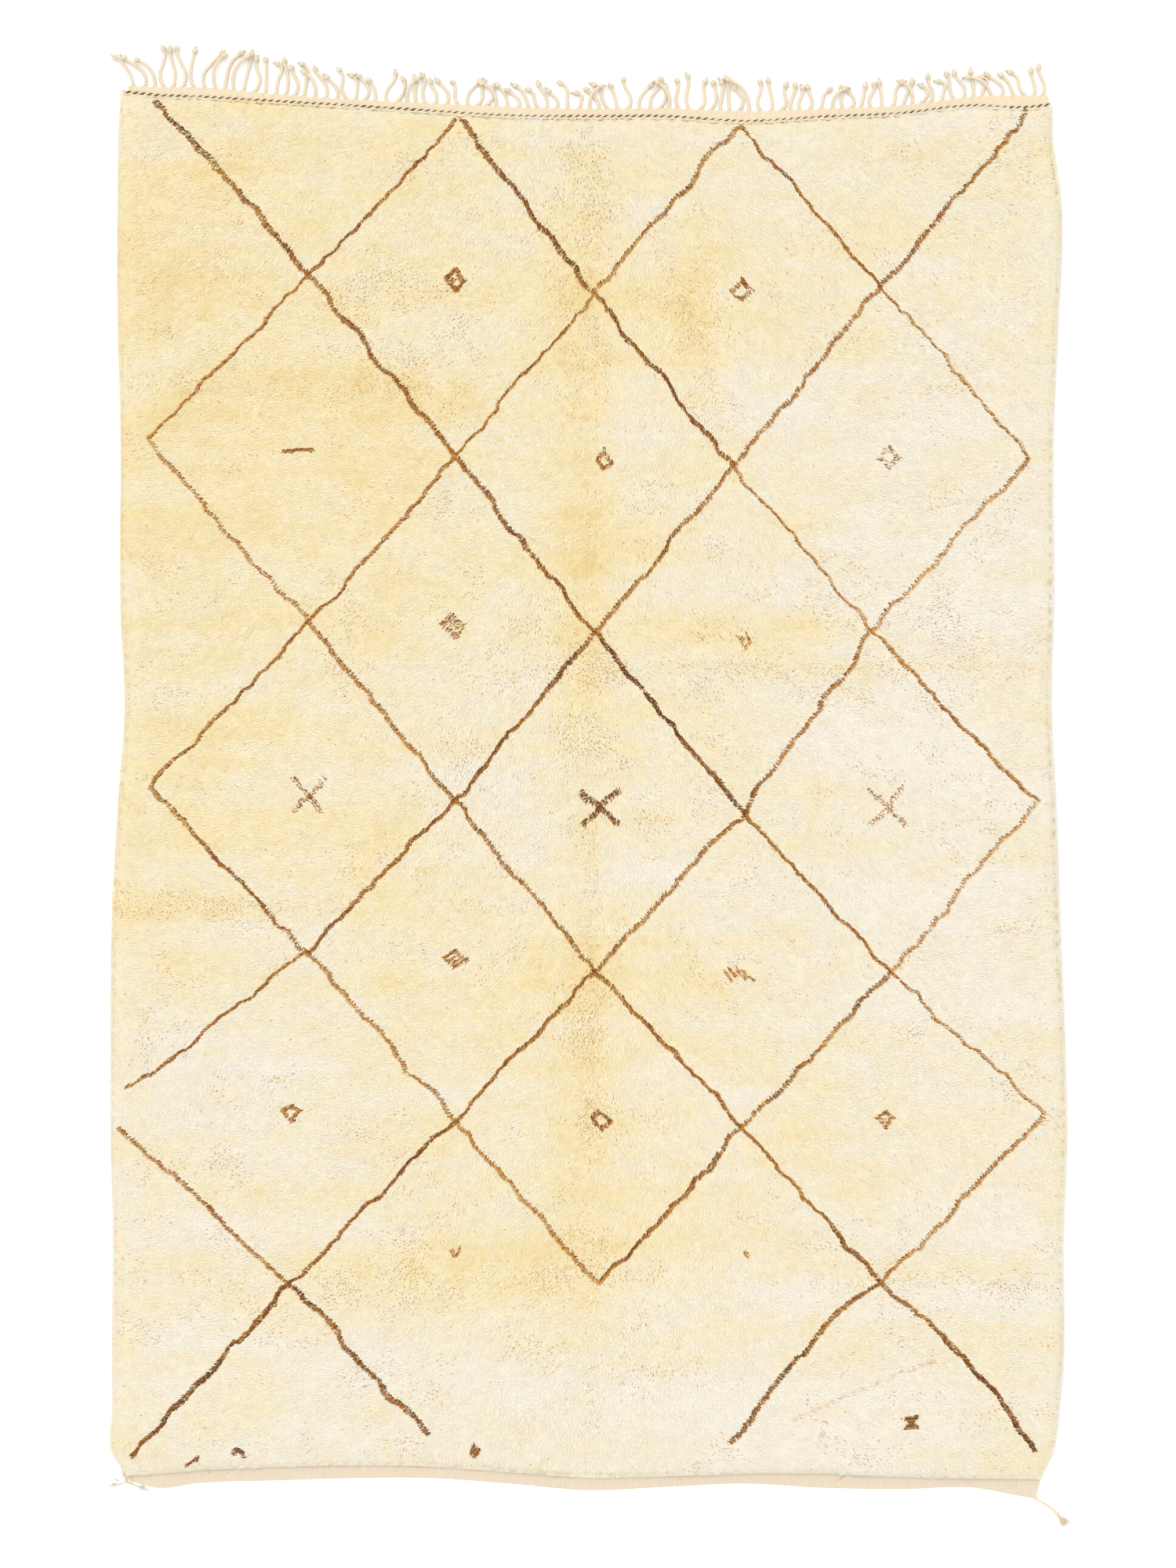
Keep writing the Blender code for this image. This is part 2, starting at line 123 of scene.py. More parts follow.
# The band and the fringe
BAND_GAP = 0.0005
BAND_THICKNESS = 0.0046
BAND_ROWS = 9
BAND_MARGIN = 0.008
BAND_INSET = 0.0012
BAND_PEAK = 0.0105
BAND_PEAK_REACH = 0.0040
CORD_RADIUS = 0.0038
CORD_STRETCH = 1.06
ROOT_PLACES = (-0.004, 0.001)
ROOT_SHARE = 0.45
ROOT_RISE = 0.010
CORD_PITCH = 0.0135
CORD_FIRST = -0.988
CORD_LAST = 0.990
CORD_SPACING = 0.0125
CORD_WANDER = 0.0028
CORD_WANDER_STEP = 7.3
LENGTH_WANDER = 0.10
LENGTH_WANDER_STEP = 3.1
CORD_SWAY = 0.085
CORD_SWAY_STEP = 1.7
CORD_SHARES = np.array((0.12, 0.32, 0.54, 0.76, 0.86, 0.93, 1.0))
KNOT_SHARE = 0.86
KNOT_SWELL = 0.80
KNOT_LENGTH = 0.0058
KNOT_STEEPNESS = 1.6
KNOT_TURNS = 2.2
FRAY_STRANDS = 7
FRAY_SPREAD = math.radians(24)
FRAY_LENGTH = 0.0070
FRAY_WANDER = 0.35
FRAY_WANDER_STEP = 2.3

# A cord's plies: how far out and how thick, as shares of its radius; a loose hair's radii likewise
PLY_OUT = 0.38
PLY_RADIUS = 0.66
HAIR_RADII = np.array((0.34, 0.32, 0.28, 0.22, 0.10))
FLOOR_GAP = 0.0002

# The rug's two ends, as places along Y over a place across X
END_COLUMNS = ("across", "kilim_edge", "pile_foot", "twined_row", "fringe_root", "cord_length")
END_ROWS = (
    (-1.020, -1.491, -1.486, 1.520, 1.532, 0.076),
    (-0.935, -1.515, -1.481, 1.511, 1.528, 0.090),
    (-0.850, -1.505, -1.474, 1.508, 1.528, 0.092),
    (-0.680, -1.499, -1.467, 1.498, 1.513, 0.080),
    (-0.510, -1.494, -1.462, 1.488, 1.501, 0.066),
    (-0.340, -1.494, -1.465, 1.477, 1.493, 0.063),
    (-0.170, -1.506, -1.477, 1.467, 1.485, 0.056),
    (0.000, -1.520, -1.489, 1.465, 1.481, 0.059),
    (0.170, -1.513, -1.486, 1.465, 1.482, 0.070),
    (0.340, -1.506, -1.481, 1.455, 1.476, 0.076),
    (0.510, -1.515, -1.481, 1.464, 1.481, 0.051),
    (0.680, -1.518, -1.488, 1.472, 1.488, 0.061),
    (0.850, -1.516, -1.491, 1.489, 1.508, 0.062),
    (0.935, -1.532, -1.492, 1.484, 1.510, 0.060),
    (1.010, -1.546, -1.494, 1.491, 1.510, 0.067),
)

# The rug's two long sides, as places across X of the tips of the pile at a place along Y
SIDE_COLUMNS = ("along", "left", "right")
SIDE_ROWS = (
    (-1.486, -1.006, 0.988),
    (-1.448, -1.032, 1.008),
    (-1.346, -1.035, 1.025),
    (-0.938, -1.034, 1.035),
    (-0.734, -1.039, 1.042),
    (-0.632, -1.039, 1.040),
    (-0.224, -1.034, 1.025),
    (-0.020, -1.022, 1.018),
    (0.184, -1.008, 1.008),
    (0.388, -1.017, 1.013),
    (0.796, -1.017, 1.013),
    (1.000, -1.023, 1.022),
    (1.306, -1.023, 1.027),
    (1.408, -1.022, 1.012),
    (1.510, -1.017, 1.010),
)

# Ways a cord lies: where its middle and its tip are from its root, as shares of its length
LAYS = {
    "i": ((-0.03, 0.52), (-0.10, 0.99)),
    "l": ((-0.12, 0.51), (-0.32, 0.94)),
    "L": ((-0.20, 0.48), (-0.60, 0.80)),
    "h": ((-0.02, 0.58), (-0.42, 0.88)),
    "H": ((-0.16, 0.46), (-0.78, 0.62)),
    "c": ((-0.20, 0.54), (-0.10, 0.97)),
    "r": ((0.12, 0.48), (0.22, 0.96)),
    "R": ((0.08, 0.46), (0.48, 0.87)),
}

# The lay of each cord, from left to right
CORD_LAYS = (
    "LLLiiicRlRliilhilhhlLlhLLrhiil"
    "lLlRiHlLLLLlLhHLLLliRlLliirLll"
    "LciirlllRiiLrliRlLHiHlliHlLLLii"
)

# Cords that lie across their neighbours: where each one's tip is from its root, in metres
CROSSING_CORDS = {
    2: (-0.050, 0.060),
    8: (0.030, 0.076),
    10: (0.044, 0.076),
    18: (-0.034, 0.058),
    27: (0.030, 0.052),
    36: (-0.043, 0.052),
    45: (0.034, 0.050),
    53: (-0.036, 0.060),
    61: (-0.060, 0.070),
    69: (0.037, 0.044),
    77: (-0.034, 0.052),
    85: (-0.064, 0.038),
}
CROSSING_RISE = 0.0068
CROSSING_BOW = 0.22

# The loose cord at the lower right corner, as a line that starts at its tassel's head
TAIL_PLACE = (1.0215, -1.5745)
TAIL_TURN = math.radians(-142)
TAIL_RADIUS = 0.0026
TAIL_PITCH = 0.0105
TAIL_LINE = (
    (0.0, 0.0),
    (0.001, -0.010),
    (0.003, -0.021),
    (0.007, -0.032),
    (0.011, -0.042),
    (0.0148, -0.0512),
    (0.0185, -0.0580),
)
TAIL_KNOT_SWELL = 0.7
TAIL_KNOT_LENGTH = 0.0042
TASSEL_LENGTH = 0.0285
TASSEL_STRANDS = 34
TASSEL_SPREAD = math.radians(19)
TASSEL_ROOT = 0.002

# The looped knot at the lower left corner: its cord goes once round clockwise as it rises, passes
# over itself and comes down to the left
LOOP_CENTRE = (-0.9990, -1.4980)
LOOP_RADIUS = 0.0068
LOOP_CORD_RADIUS = 0.0017
LOOP_START = math.radians(246)
LOOP_TURN = math.radians(-372)
LOOP_RISE = 0.0086
LOOP_STEPS = 28
LOOP_IN = (
    (-0.9570, -1.5215, 0.0000, 0.55),
    (-0.9740, -1.5165, 0.0000, 0.80),
    (-0.9890, -1.5095, 0.0000, 1.00),
)
LOOP_OUT = (
    (-1.0120, -1.5060, 0.0080, 1.00),
    (-1.0220, -1.5090, 0.0025, 0.85),
    (-1.0320, -1.5120, 0.0000, 0.65),
    (-1.0430, -1.5135, 0.0000, 0.35),
)
LOOP_PITCH = 0.0090
LOOP_STEP = 0.0016

# Its loose hairs: where each tuft leaves the cord, its way in degrees, and what all tufts share
LOOP_FRAY = (
    (-0.972, -1.511, -38.0),
    (-0.976, -1.513, -50.0),
    (-1.026, -1.508, 186.0),
    (-1.020, -1.502, 160.0),
)
LOOP_FRAY_HEIGHT = 0.003
LOOP_FRAY_LENGTH = 0.013
LOOP_FRAY_STRANDS = 5
LOOP_FRAY_SPREAD = math.radians(16)
LOOP_FRAY_RADIUS = 0.0015

# The pile's locks: their size, and the shares of it that each one's reach and half width are
PILE_BASE = GROUND_THICKNESS + PIECE_GAP
LOCK_SPACING = 0.0043
CREAM_LOCK = {"width": 0.0028, "reach": 0.0155}
LOCK_REACHES = (0.75, 1.25)
LOCK_HALVES = (0.38, 0.60)
LEAST_REACH = 0.0045
LEAST_TIP_HEIGHT = 0.0045

# How far ahead of a lock's middle its parts are, as shares of its reach, and the height of its
# root, bend and tip over the bed and the least height each has over the floor
LOCK_AHEAD = {"root": -0.50, "bend": -0.16, "tip": 0.50}
LOCK_HEIGHTS = ((-0.0010, PILE_BASE), (0.0006, LEAST_TIP_HEIGHT), (0.0008, LEAST_TIP_HEIGHT))
LOCK_BEND_PLACE = 0.45
LOCK_TIP_WANDER = 0.00015
RIM_LIFT = 0.0018
RIM_LIFT_REACH = 0.015
LOCK_ROLL = 0.07
LOCK_LEVELLING = 0.75
LOCK_ROUNDNESS = 0.22
CLUMP_SIZE = 0.0105
CLUMP_SHAKE = 0.42
CLUMP_PULL = 0.45
CLUMP_LIFT = 0.0003
BED_DEPTH = 0.0011
BED_SHARE = 0.70
LUMP_SIZE = 0.03
LUMP_HEIGHT = 0.0015
RIM_LEAN = 0.034
HEAD_OVERLAP = 0.0058
FOOT_OVERHANG = 0.0065
FOOT_REACH = 0.10
PILE_PIECES = 4
HEIGHT_STEP = 0.007

# Along the pile's left, right, lower and upper rim: the lean there along X and Y and how far in it
# reaches, and how far inside the even grid's places keep
RIM_LEANS = ((-1.8, 0.0, RIM_LEAN), (1.8, 0.0, RIM_LEAN), (0.0, -1.2, RIM_LEAN), (0.0, 1.6, 0.012))
RIM_INSETS = (0.004, 0.004, 0.003, 0.004)

# Rows of locks close together along all four rims: their step, how far in they lie, how much of a
# step they are shaken and how far inside the rim each one at least is
RIM_STEP = 0.0018
RIM_ROWS = (0.0032, 0.0060)
RIM_SHAKE = 0.35
RIM_LEAST = 0.0022

# How the pile lies: towards the bare end along the rug's middle and ever more outwards on both
# sides of it, swept about by broad and small swirls, each with its size, turn and seed
LAY_DOWN = math.radians(-90)
LAY_SPREAD = math.radians(74)
LAY_REACH = 0.40
LAY_SWIRLS = (
    (0.30, math.radians(38), 91),
    (0.070, math.radians(26), 92),
)
CLUMP_TURN = math.radians(13)
LOCK_TURN = math.radians(12)

# Where the pile parts: a line from start to end, how far its sides are swept and how much they turn
PARTING_COLUMNS = ("x_start", "y_start", "x_end", "y_end", "half_width", "strength")
PARTING_ROWS = (
    (0.010, 1.480, 0.006, -1.500, 0.035, 0.45),
    (0.136, 1.220, 0.255, 0.950, 0.045, 0.70),
    (0.255, 0.950, 0.323, 0.690, 0.045, 0.70),
    (0.020, 0.250, 1.020, 0.262, 0.030, 0.55),
    (-1.030, -0.258, -0.100, -0.250, 0.030, 0.55),
    (-1.030, -1.060, -0.500, -1.050, 0.030, 0.50),
    (0.400, -1.062, 1.040, -1.070, 0.030, 0.50),
    (-1.020, 0.880, -0.250, 0.875, 0.030, 0.45),
)

# The net's crossings and ends, rounded off, by row from the top
CROSSINGS = {
    "a1": (-0.945, 1.495), "a0": (-0.800, 1.345), "a2": (-0.285, 1.458),
    "a3": (0.328, 1.442), "a4": (0.960, 1.475),
    "b1": (-0.603, 1.115), "b2": (0.012, 1.080), "b3": (0.637, 1.093),
    "c1": (-0.957, 0.758), "c2": (-0.284, 0.722), "c3": (0.315, 0.700), "c4": (0.960, 0.724),
    "d1": (-0.603, 0.364), "d2": (0.012, 0.338), "d3": (0.620, 0.345),
    "e1": (-0.952, 0.008), "e2": (-0.290, -0.024), "e3": (0.337, -0.047), "e4": (0.969, -0.024),
    "f1": (-0.615, -0.352), "f2": (0.017, -0.394), "f3": (0.654, -0.398),
    "g1": (-1.003, -0.653), "g2": (-0.292, -0.715), "g3": (0.337, -0.730), "g4": (0.994, -0.700),
    "h1": (-1.020, -0.730), "h2": (-0.643, -1.074), "h3": (0.026, -1.074), "h4": (0.637, -1.070),
    "i1": (-0.994, -1.440), "i2": (-0.352, -1.394), "i3": (0.311, -1.411), "i4": (0.966, -1.440),
    "j3": (0.547, -1.129), "j4": (0.748, -1.159), "k3": (0.490, -1.193), "k4": (0.935, -1.368),
}

# Each line of the net: its crossings, and how strongly each stretch between them shows
NET_LINES = (
    ("a1 a0 b1 c2 d2 e3 f3 g4 h4 j3 k3 i3", "WSsdDmplsSS"),
    ("a2 b1 c1 d1 e2 f2 g3 h4 j4 k4 i4", "mlpmmsssBB"),
    ("a2 b2 c3 d3 e4 f3 g3 h3", "Ddplpms"),
    ("a3 b2 c2 d1 e1 f1 g2 h3", "mlmmmll"),
    ("a3 b3 c4 d3 e3 f2 g2 h2 i1", "mppmmsdB"),
    ("a4 b3 c3 d2 e2 f1 g1", "mlmdsl"),
    ("h1 h2 i2", "lB"),
)

# What a letter above stands for: how many rows of knots the line has, how far apart they are
# along it, its half width, the places of its roots' and its tips' browns on the colour card, and
# the share of the cream locks over it that are gone. The roots' darker brown is partly the wool's own and
# partly painted shade
STROKE_COLUMNS = ("rows", "step", "half_width", "root", "tip", "bare")
STROKE_ROWS = {
    "B": (4, 0.0026, 0.0048, 0.030, 0.160, 1.00),
    "W": (3, 0.0028, 0.0060, 0.030, 0.150, 0.90),
    "D": (4, 0.0028, 0.0043, 0.035, 0.140, 1.00),
    "S": (4, 0.0028, 0.0045, 0.080, 0.178, 1.00),
    "d": (4, 0.0028, 0.0037, 0.060, 0.168, 1.00),
    "s": (4, 0.0028, 0.0038, 0.085, 0.190, 1.00),
    "m": (3, 0.0028, 0.0031, 0.095, 0.208, 0.95),
    "l": (3, 0.0028, 0.0027, 0.115, 0.230, 0.90),
    "p": (2, 0.0028, 0.0021, 0.130, 0.262, 0.85),
    "K": (4, 0.0028, 0.0042, 0.060, 0.158, 1.00),
    "M": (3, 0.0028, 0.0034, 0.080, 0.190, 0.95),
    "L": (3, 0.0034, 0.0030, 0.110, 0.236, 0.75),
    "F": (2, 0.0048, 0.0026, 0.180, 0.290, 0.25),
    "X": (5, 0.0038, 0.0074, 0.030, 0.170, 0.70),
    "Y": (3, 0.0048, 0.0050, 0.075, 0.200, 0.40),
    "x": (3, 0.0060, 0.0048, 0.090, 0.212, 0.32),
}
STROKE_LIFT = 0.0003
STROKE_PULL = 0.3
STROKE_INSET = 0.8
STROKE_SHAKE = {"along": 0.35, "across": 0.18}
STROKE_TINT = 0.042
STROKE_LOCK = {"width": 0.0028, "reach": 0.0084}

# The dark roots that show like the teeth of a comb where a line's locks come up: brown roots, painted
# darker for the shade between the cream locks over them
TOOTH_STEP = 0.0062
TOOTH_SHIFT = 0.0052
TOOTH_INSET = 0.7
TOOTH_LOCK = {"width": 0.0022, "reach": 0.0085}
TOOTH_SHADED_ROOT_COLOUR = 0.015
TOOTH_TINT = 0.02
TOOTH_LIFT = 0.0007

# Painted shade: short dark tan locks that stand for the shaded wool in short gaps between locks, thick in
# some places
SHADE_FLECK_SPACING = 0.0072
SHADE_FLECK_SHARE = 0.015
SHADE_FLECK_ROUGHNESS = 0.25
SHADE_FLECK_INSET = 0.012
SHADE_FLECK_LOCK = {"width": 0.0016, "reach": 0.0062}
SHADE_FLECK_COLOUR = 0.255
SHADE_FLECK_TINT = 0.04
SHADE_FLECK_LIFT = 0.0004

# Painted shade along the partings, as tan locks: how many a metre, how far they stray and their place on
# the card
CREASE_LOCKS = 900
CREASE_WANDER = 0.011
CREASE_SHADE_COLOUR = 0.335
CREASE_TINT = 0.035
CREASE_LEAST = -0.15

# Where the painted shade flecks gather: soft-edged patches, in which the pile is rougher
ROUGH_COLUMNS = ("x", "y", "half_width", "half_length", "roughness")
ROUGH_ROWS = (
    (0.000, 1.240, 0.090, 0.230, 0.75),
    (-0.430, 1.030, 0.130, 0.180, 0.60),
    (0.250, 0.880, 0.070, 0.230, 0.70),
    (0.010, 0.160, 0.080, 0.210, 0.85),
    (-0.180, 0.080, 0.150, 0.240, 0.45),
    (0.350, 0.245, 0.330, 0.040, 0.85),
    (-0.870, -0.235, 0.170, 0.035, 0.70),
    (-0.480, -0.150, 0.150, 0.060, 0.50),
    (-0.520, -1.080, 0.200, 0.090, 0.55),
    (0.000, -1.050, 0.260, 0.040, 0.60),
    (0.010, -0.650, 0.060, 0.330, 0.60),
    (0.860, -1.130, 0.170, 0.100, 0.60),
    (-0.600, 0.500, 0.300, 0.100, 0.35),
    (0.700, 0.450, 0.300, 0.150, 0.30),
)

# How the weaver's lines stray, by soft noise of three sizes: its size and reach, and its first
# seed for each way
WANDER_ROWS = ((0.055, 0.0070), (0.021, 0.0035), (0.010, 0.0022))
WANDER_SEEDS = (50, 60)

# The small motifs, as lines in a square of side 1: open and filled lozenges, crosses and dashes
LOZENGE = ((-0.5, 0), (0, 0.5), (0.5, 0), (0, -0.5), (-0.5, 0))
FORMS = {
    "lozenge": (LOZENGE,),
    "broken": (((-0.5, -0.1), (0, 0.5)), ((0.5, 0), (0, -0.45), (-0.35, -0.3))),
    "shoulder": (((0, 0.5), (0.3, 0.1)), ((0.05, 0.35), (0.2, 0.2))),
    "filled": (LOZENGE, ((-0.15, 0.3), (-0.15, -0.3)), ((0.15, 0.3), (0.15, -0.3))),
    "dot": (((-0.5, 0), (0.5, 0)),),
    "cross": (((-0.5, 0.5), (0.5, -0.5)), ((-0.5, -0.5), (0.5, 0.5))),
    "dash": (((-0.5, 0.5), (0.5, -0.5)),),
    "slants": (
        ((-0.5, 0.30), (-0.24, -0.45)),
        ((-0.36, 0.50), (-0.10, -0.15)),
        ((-0.06, 0.0), (0.04, 0.40), (0.24, -0.25)),
        ((0.18, 0.35), (0.50, -0.35)),
    ),
    "rising": (((-0.5, -0.5), (0.5, 0.5)),),
    "hooked": (((-0.5, -0.1), (-0.3, 0.4), (0.5, -0.5)),),
    "fork": (((-0.5, 0.3), (-0.1, -0.5)), ((0.4, 0.5), (0, -0.5))),
    "waist": (
        ((-0.5, 0.42), (0.5, 0.42)),
        ((-0.5, -0.42), (0.5, -0.42)),
        ((-0.2, 0.3), (0.15, -0.3)),
        ((0.2, 0.3), (-0.15, -0.3)),
    ),
}
MOTIF_COLUMNS = ("form", "x", "y", "width", "height", "stroke")
MOTIF_ROWS = (
    ("lozenge", -0.290, 1.106, 0.041, 0.043, "K"),
    ("dot", -0.293, 1.106, 0.004, 0.004, "K"),
    ("broken", 0.330, 1.091, 0.046, 0.046, "L"),
    ("shoulder", 0.330, 1.091, 0.046, 0.046, "M"),
    ("dash", -0.630, 0.737, 0.066, 0.005, "M"),
    ("lozenge", 0.039, 0.717, 0.030, 0.036, "M"),
    ("lozenge", 0.659, 0.719, 0.036, 0.040, "x"),
    ("filled", -0.294, 0.359, 0.047, 0.054, "x"),
    ("lozenge", 0.338, 0.324, 0.022, 0.028, "F"),
    ("dash", 0.333, 0.326, 0.036, 0.002, "F"),
    ("cross", -0.608, -0.007, 0.060, 0.069, "Y"),
    ("cross", 0.030, -0.039, 0.078, 0.072, "X"),
    ("cross", 0.646, -0.036, 0.070, 0.068, "x"),
    ("lozenge", -0.287, -0.370, 0.050, 0.034, "L"),
    ("lozenge", -0.288, -0.372, 0.016, 0.008, "F"),
    ("slants", 0.328, -0.403, 0.062, 0.027, "p"),
    ("lozenge", -0.648, -0.700, 0.036, 0.034, "M"),
    ("lozenge", 0.027, -0.717, 0.033, 0.036, "M"),
    ("lozenge", 0.649, -0.714, 0.026, 0.034, "L"),
    ("dot", 0.652, -0.716, 0.006, 0.004, "F"),
    ("fork", -0.293, -1.006, 0.020, 0.022, "L"),
    ("lozenge", 0.342, -1.006, 0.010, 0.011, "F"),
    ("rising", -0.861, -1.451, 0.019, 0.015, "K"),
    ("hooked", -0.757, -1.439, 0.025, 0.018, "K"),
    ("lozenge", -0.246, -1.430, 0.014, 0.019, "K"),
    ("waist", 0.703, -1.373, 0.021, 0.023, "K"),
)

# A faint old stain, as lines of a pinkish brown
STAIN_HALF_WIDTH = 0.0045
STAIN_SHARE = 0.45
STAIN_PLACE = 0.42
STAIN_LINES = (
    ((0.445, -1.365), (0.560, -1.315), (0.660, -1.270), (0.757, -1.236)),
    ((0.515, -1.372), (0.502, -1.406)),
    ((0.515, -1.415), (0.517, -1.425)),
)

# Broad patches of warmer (above 0) or paler (below 0) wool, soft-edged. The band down the middle and the
# narrow bands along the partings are partly yellower wool and partly painted shade in the creases
PATCH_COLUMNS = ("x", "y", "half_width", "half_length", "warmth")
PATCH_ROWS = (
    (-0.010, 0.760, 0.075, 0.650, 0.36),
    (-0.010, -0.600, 0.070, 0.500, 0.26),
    (-0.730, 0.980, 0.480, 0.600, 0.30),
    (0.230, 1.000, 0.060, 0.280, 0.26),
    (0.000, 0.490, 0.260, 0.100, 0.20),
    (-0.765, 0.130, 0.260, 0.045, 0.22),
    (-0.870, -0.250, 0.150, 0.050, 0.28),
    (-0.830, -0.400, 0.170, 0.030, 0.22),
    (-0.710, -0.870, 0.300, 0.035, 0.22),
    (-0.085, -1.020, 0.480, 0.045, 0.20),
    (-0.430, -1.160, 0.300, 0.030, 0.18),
    (0.765, -1.040, 0.260, 0.030, 0.24),
    (0.450, 0.270, 0.400, 0.035, 0.20),
    (0.800, 0.050, 0.380, 1.400, -0.36),
    (0.000, -1.400, 1.050, 0.240, -0.30),
    (-0.780, -0.780, 0.330, 0.420, -0.28),
    (0.280, -0.170, 0.260, 0.130, -0.18),
    (-0.480, -0.900, 0.160, 0.120, -0.14),
    (-0.320, 0.120, 0.320, 0.220, -0.20),
)

# Unevenness by soft noise: patches this wide and long, their share and their seed
WARM_CLOUDS = (
    (0.55, 0.110, 0.15, 81),
    (0.40, 0.030, 0.12, 82),
    (0.15, 0.060, 0.14, 83),
    (0.055, 0.030, 0.14, 84),
)
ROUGH_CLOUDS = (
    (0.13, 0.09, 0.55, 101),
    (0.040, 0.030, 0.60, 102),
)
STROKE_CLOUDS = (
    (0.09, 0.09, 0.06, 71),
    (0.018, 0.018, 0.03, 72),
)
CREASE_CLOUDS = ((0.09, 0.09, 1.0, 121),)
ROW_CLOUDS = (
    (0.022, 0.5, 1.0, 111),
    (0.110, 0.5, 1.0, 112),
)
CLUMP_TINT = 0.08
LOCK_TINT = 0.06
WARMTH_MIDDLE = 0.44
WARMEST_PLACE = 0.56
PALEST_PLACE = 1.0

# The colour card of the pile: a place from 0 to 1 and the wool's colour there, in sRGB
PILE_CARD = (
    (0.00, (58, 30, 12)),
    (0.06, (98, 56, 18)),
    (0.13, (144, 89, 31)),
    (0.20, (178, 122, 52)),
    (0.27, (199, 154, 86)),
    (0.34, (213, 180, 128)),
    (0.42, (212, 180, 158)),
    (0.50, (222, 197, 140)),
    (0.62, (226, 208, 159)),
    (0.76, (228, 216, 182)),
    (0.88, (226, 218, 197)),
    (1.00, (227, 222, 210)),
)

# Painted shade: what a lock's colour is multiplied by along its length, from its root to its tip, darker at
# the root that lies deep in the pile
LOCK_PAINTED_SHADE = (
    (0.00, (0.90, 0.84, 0.72)),
    (0.35, (0.98, 0.95, 0.90)),
    (0.75, (1.00, 1.00, 1.00)),
    (1.00, (1.00, 1.00, 1.00)),
)

SEEDS = {"clumps": 5, "pile": 11, "fringe": 21, "tail": 31, "knot": 41}
BAKE_MAP = "OFBake"
MAP_MARGIN = 0.06
UP = np.array((0.0, 0.0, 1.0))


# ---------------------------------------------------------------- places on the rug


def columns(names, rows):
    """The table as one array for each column name."""
    return dict(zip(names, np.array(rows).T))


def named(names, rows):
    """Each row of the table, with its values under the column names."""
    return [dict(zip(names, row)) for row in rows]


ENDS = columns(END_COLUMNS, END_ROWS)
SIDES = columns(SIDE_COLUMNS, SIDE_ROWS)
PARTINGS = named(PARTING_COLUMNS, PARTING_ROWS)
ROUGH_PATCHES = named(ROUGH_COLUMNS, ROUGH_ROWS)
WARM_PATCHES = named(PATCH_COLUMNS, PATCH_ROWS)
MOTIFS = named(MOTIF_COLUMNS, MOTIF_ROWS)
STROKES = dict(zip(STROKE_ROWS, named(STROKE_COLUMNS, STROKE_ROWS.values())))


def smooth(at, places, values):
    """The values at these places, on a smooth curve through the table, level beyond its ends."""
    at = np.clip(at, places[0], places[-1])
    slopes = np.gradient(values, places)
    i = np.clip(np.searchsorted(places, at, side="right") - 1, 0, len(places) - 2)
    span = places[i + 1] - places[i]
    t = (at - places[i]) / span
    start = (1 + 2 * t) * (1 - t) ** 2 * values[i] + t * (1 - t) ** 2 * span * slopes[i]
    end = t * t * (3 - 2 * t) * values[i + 1] - t * t * (1 - t) * span * slopes[i + 1]
    return start + end


def end_line(column, x):
    return smooth(x, ENDS["across"], ENDS[column])


def side_line(column, y):
    return smooth(y, SIDES["along"], SIDES[column])


def upper_places():
    """The places across X of the points along the ground's upper edge."""
    left = side_line("left", ENDS["twined_row"][0]) + SIDE_INSET
    right = side_line("right", ENDS["twined_row"][-1]) - SIDE_INSET
    return np.linspace(left, right, OUTLINE_STEPS + 1)


def upper_edge(x):
    """The ground's edge beyond the twined row, straight from point to point."""
    places = upper_places()
    return np.interp(x, places, end_line("twined_row", places))


def mix(start, end, share):
    return start + (end - start) * share


def ease(share):
    """0 up to 0, 1 from 1, and smooth in between."""
    share = np.clip(share, 0.0, 1.0)
    return share * share * (3 - 2 * share)


def swirl(x, y, across, along, seed):
    """Soft noise from -1 to 1 in patches of about this size."""
    table = np.random.default_rng(seed).uniform(-1, 1, (64, 64))
    u = x / across + 17.0
    v = y / along + 29.0
    i = np.floor(u).astype(int)
    j = np.floor(v).astype(int)
    s = ease(u - i)
    t = ease(v - j)
    low = mix(table[i % 64, j % 64], table[(i + 1) % 64, j % 64], s)
    high = mix(table[i % 64, (j + 1) % 64], table[(i + 1) % 64, (j + 1) % 64], s)
    return mix(low, high, t)


def clouds(x, y, rows):
    """Soft noise of several sizes, added up."""
    return sum(share * swirl(x, y, across, along, seed) for across, along, share, seed in rows)


def away_from(x, y, start, end):
    """How far each point is from a straight stroke, and on which side of it."""
    start = np.array(start)
    line = np.array(end) - start
    share = ((x - start[0]) * line[0] + (y - start[1]) * line[1]) / (line @ line)
    share = np.clip(share, 0.0, 1.0)
    dx = x - start[0] - share * line[0]
    dy = y - start[1] - share * line[1]
    side = np.sign(dy * line[0] - dx * line[1])
    return np.hypot(dx, dy), side


class Heights:
    """The height of the bed's face over the floor, read on an even grid."""

    def __init__(self, bed):
        tree = BVHTree.FromObject(bed, bpy.context.evaluated_depsgraph_get())
        low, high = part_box("pile")
        self.low = np.array(low[:2]) - HEIGHT_STEP
        counts = np.ceil((np.array(high[:2]) + HEIGHT_STEP - self.low) / HEIGHT_STEP).astype(int) + 1
        self.table = np.full(counts, LEAST_TIP_HEIGHT)
        down = Vector((0.0, 0.0, -1.0))
        for i in range(counts[0]):
            for j in range(counts[1]):
                x, y = self.low + HEIGHT_STEP * np.array((i, j))
                hit = tree.ray_cast(Vector((x, y, 1.0)), down)[0]
                if hit:
                    self.table[i, j] = hit.z

    def at(self, x, y):
        u = np.clip((x - self.low[0]) / HEIGHT_STEP, 0, self.table.shape[0] - 1.001)
        v = np.clip((y - self.low[1]) / HEIGHT_STEP, 0, self.table.shape[1] - 1.001)
        i = u.astype(int)
        j = v.astype(int)
        low = mix(self.table[i, j], self.table[i + 1, j], u - i)
        high = mix(self.table[i, j + 1], self.table[i + 1, j + 1], u - i)
        return mix(low, high, v - j)


# ---------------------------------------------------------------- meshes


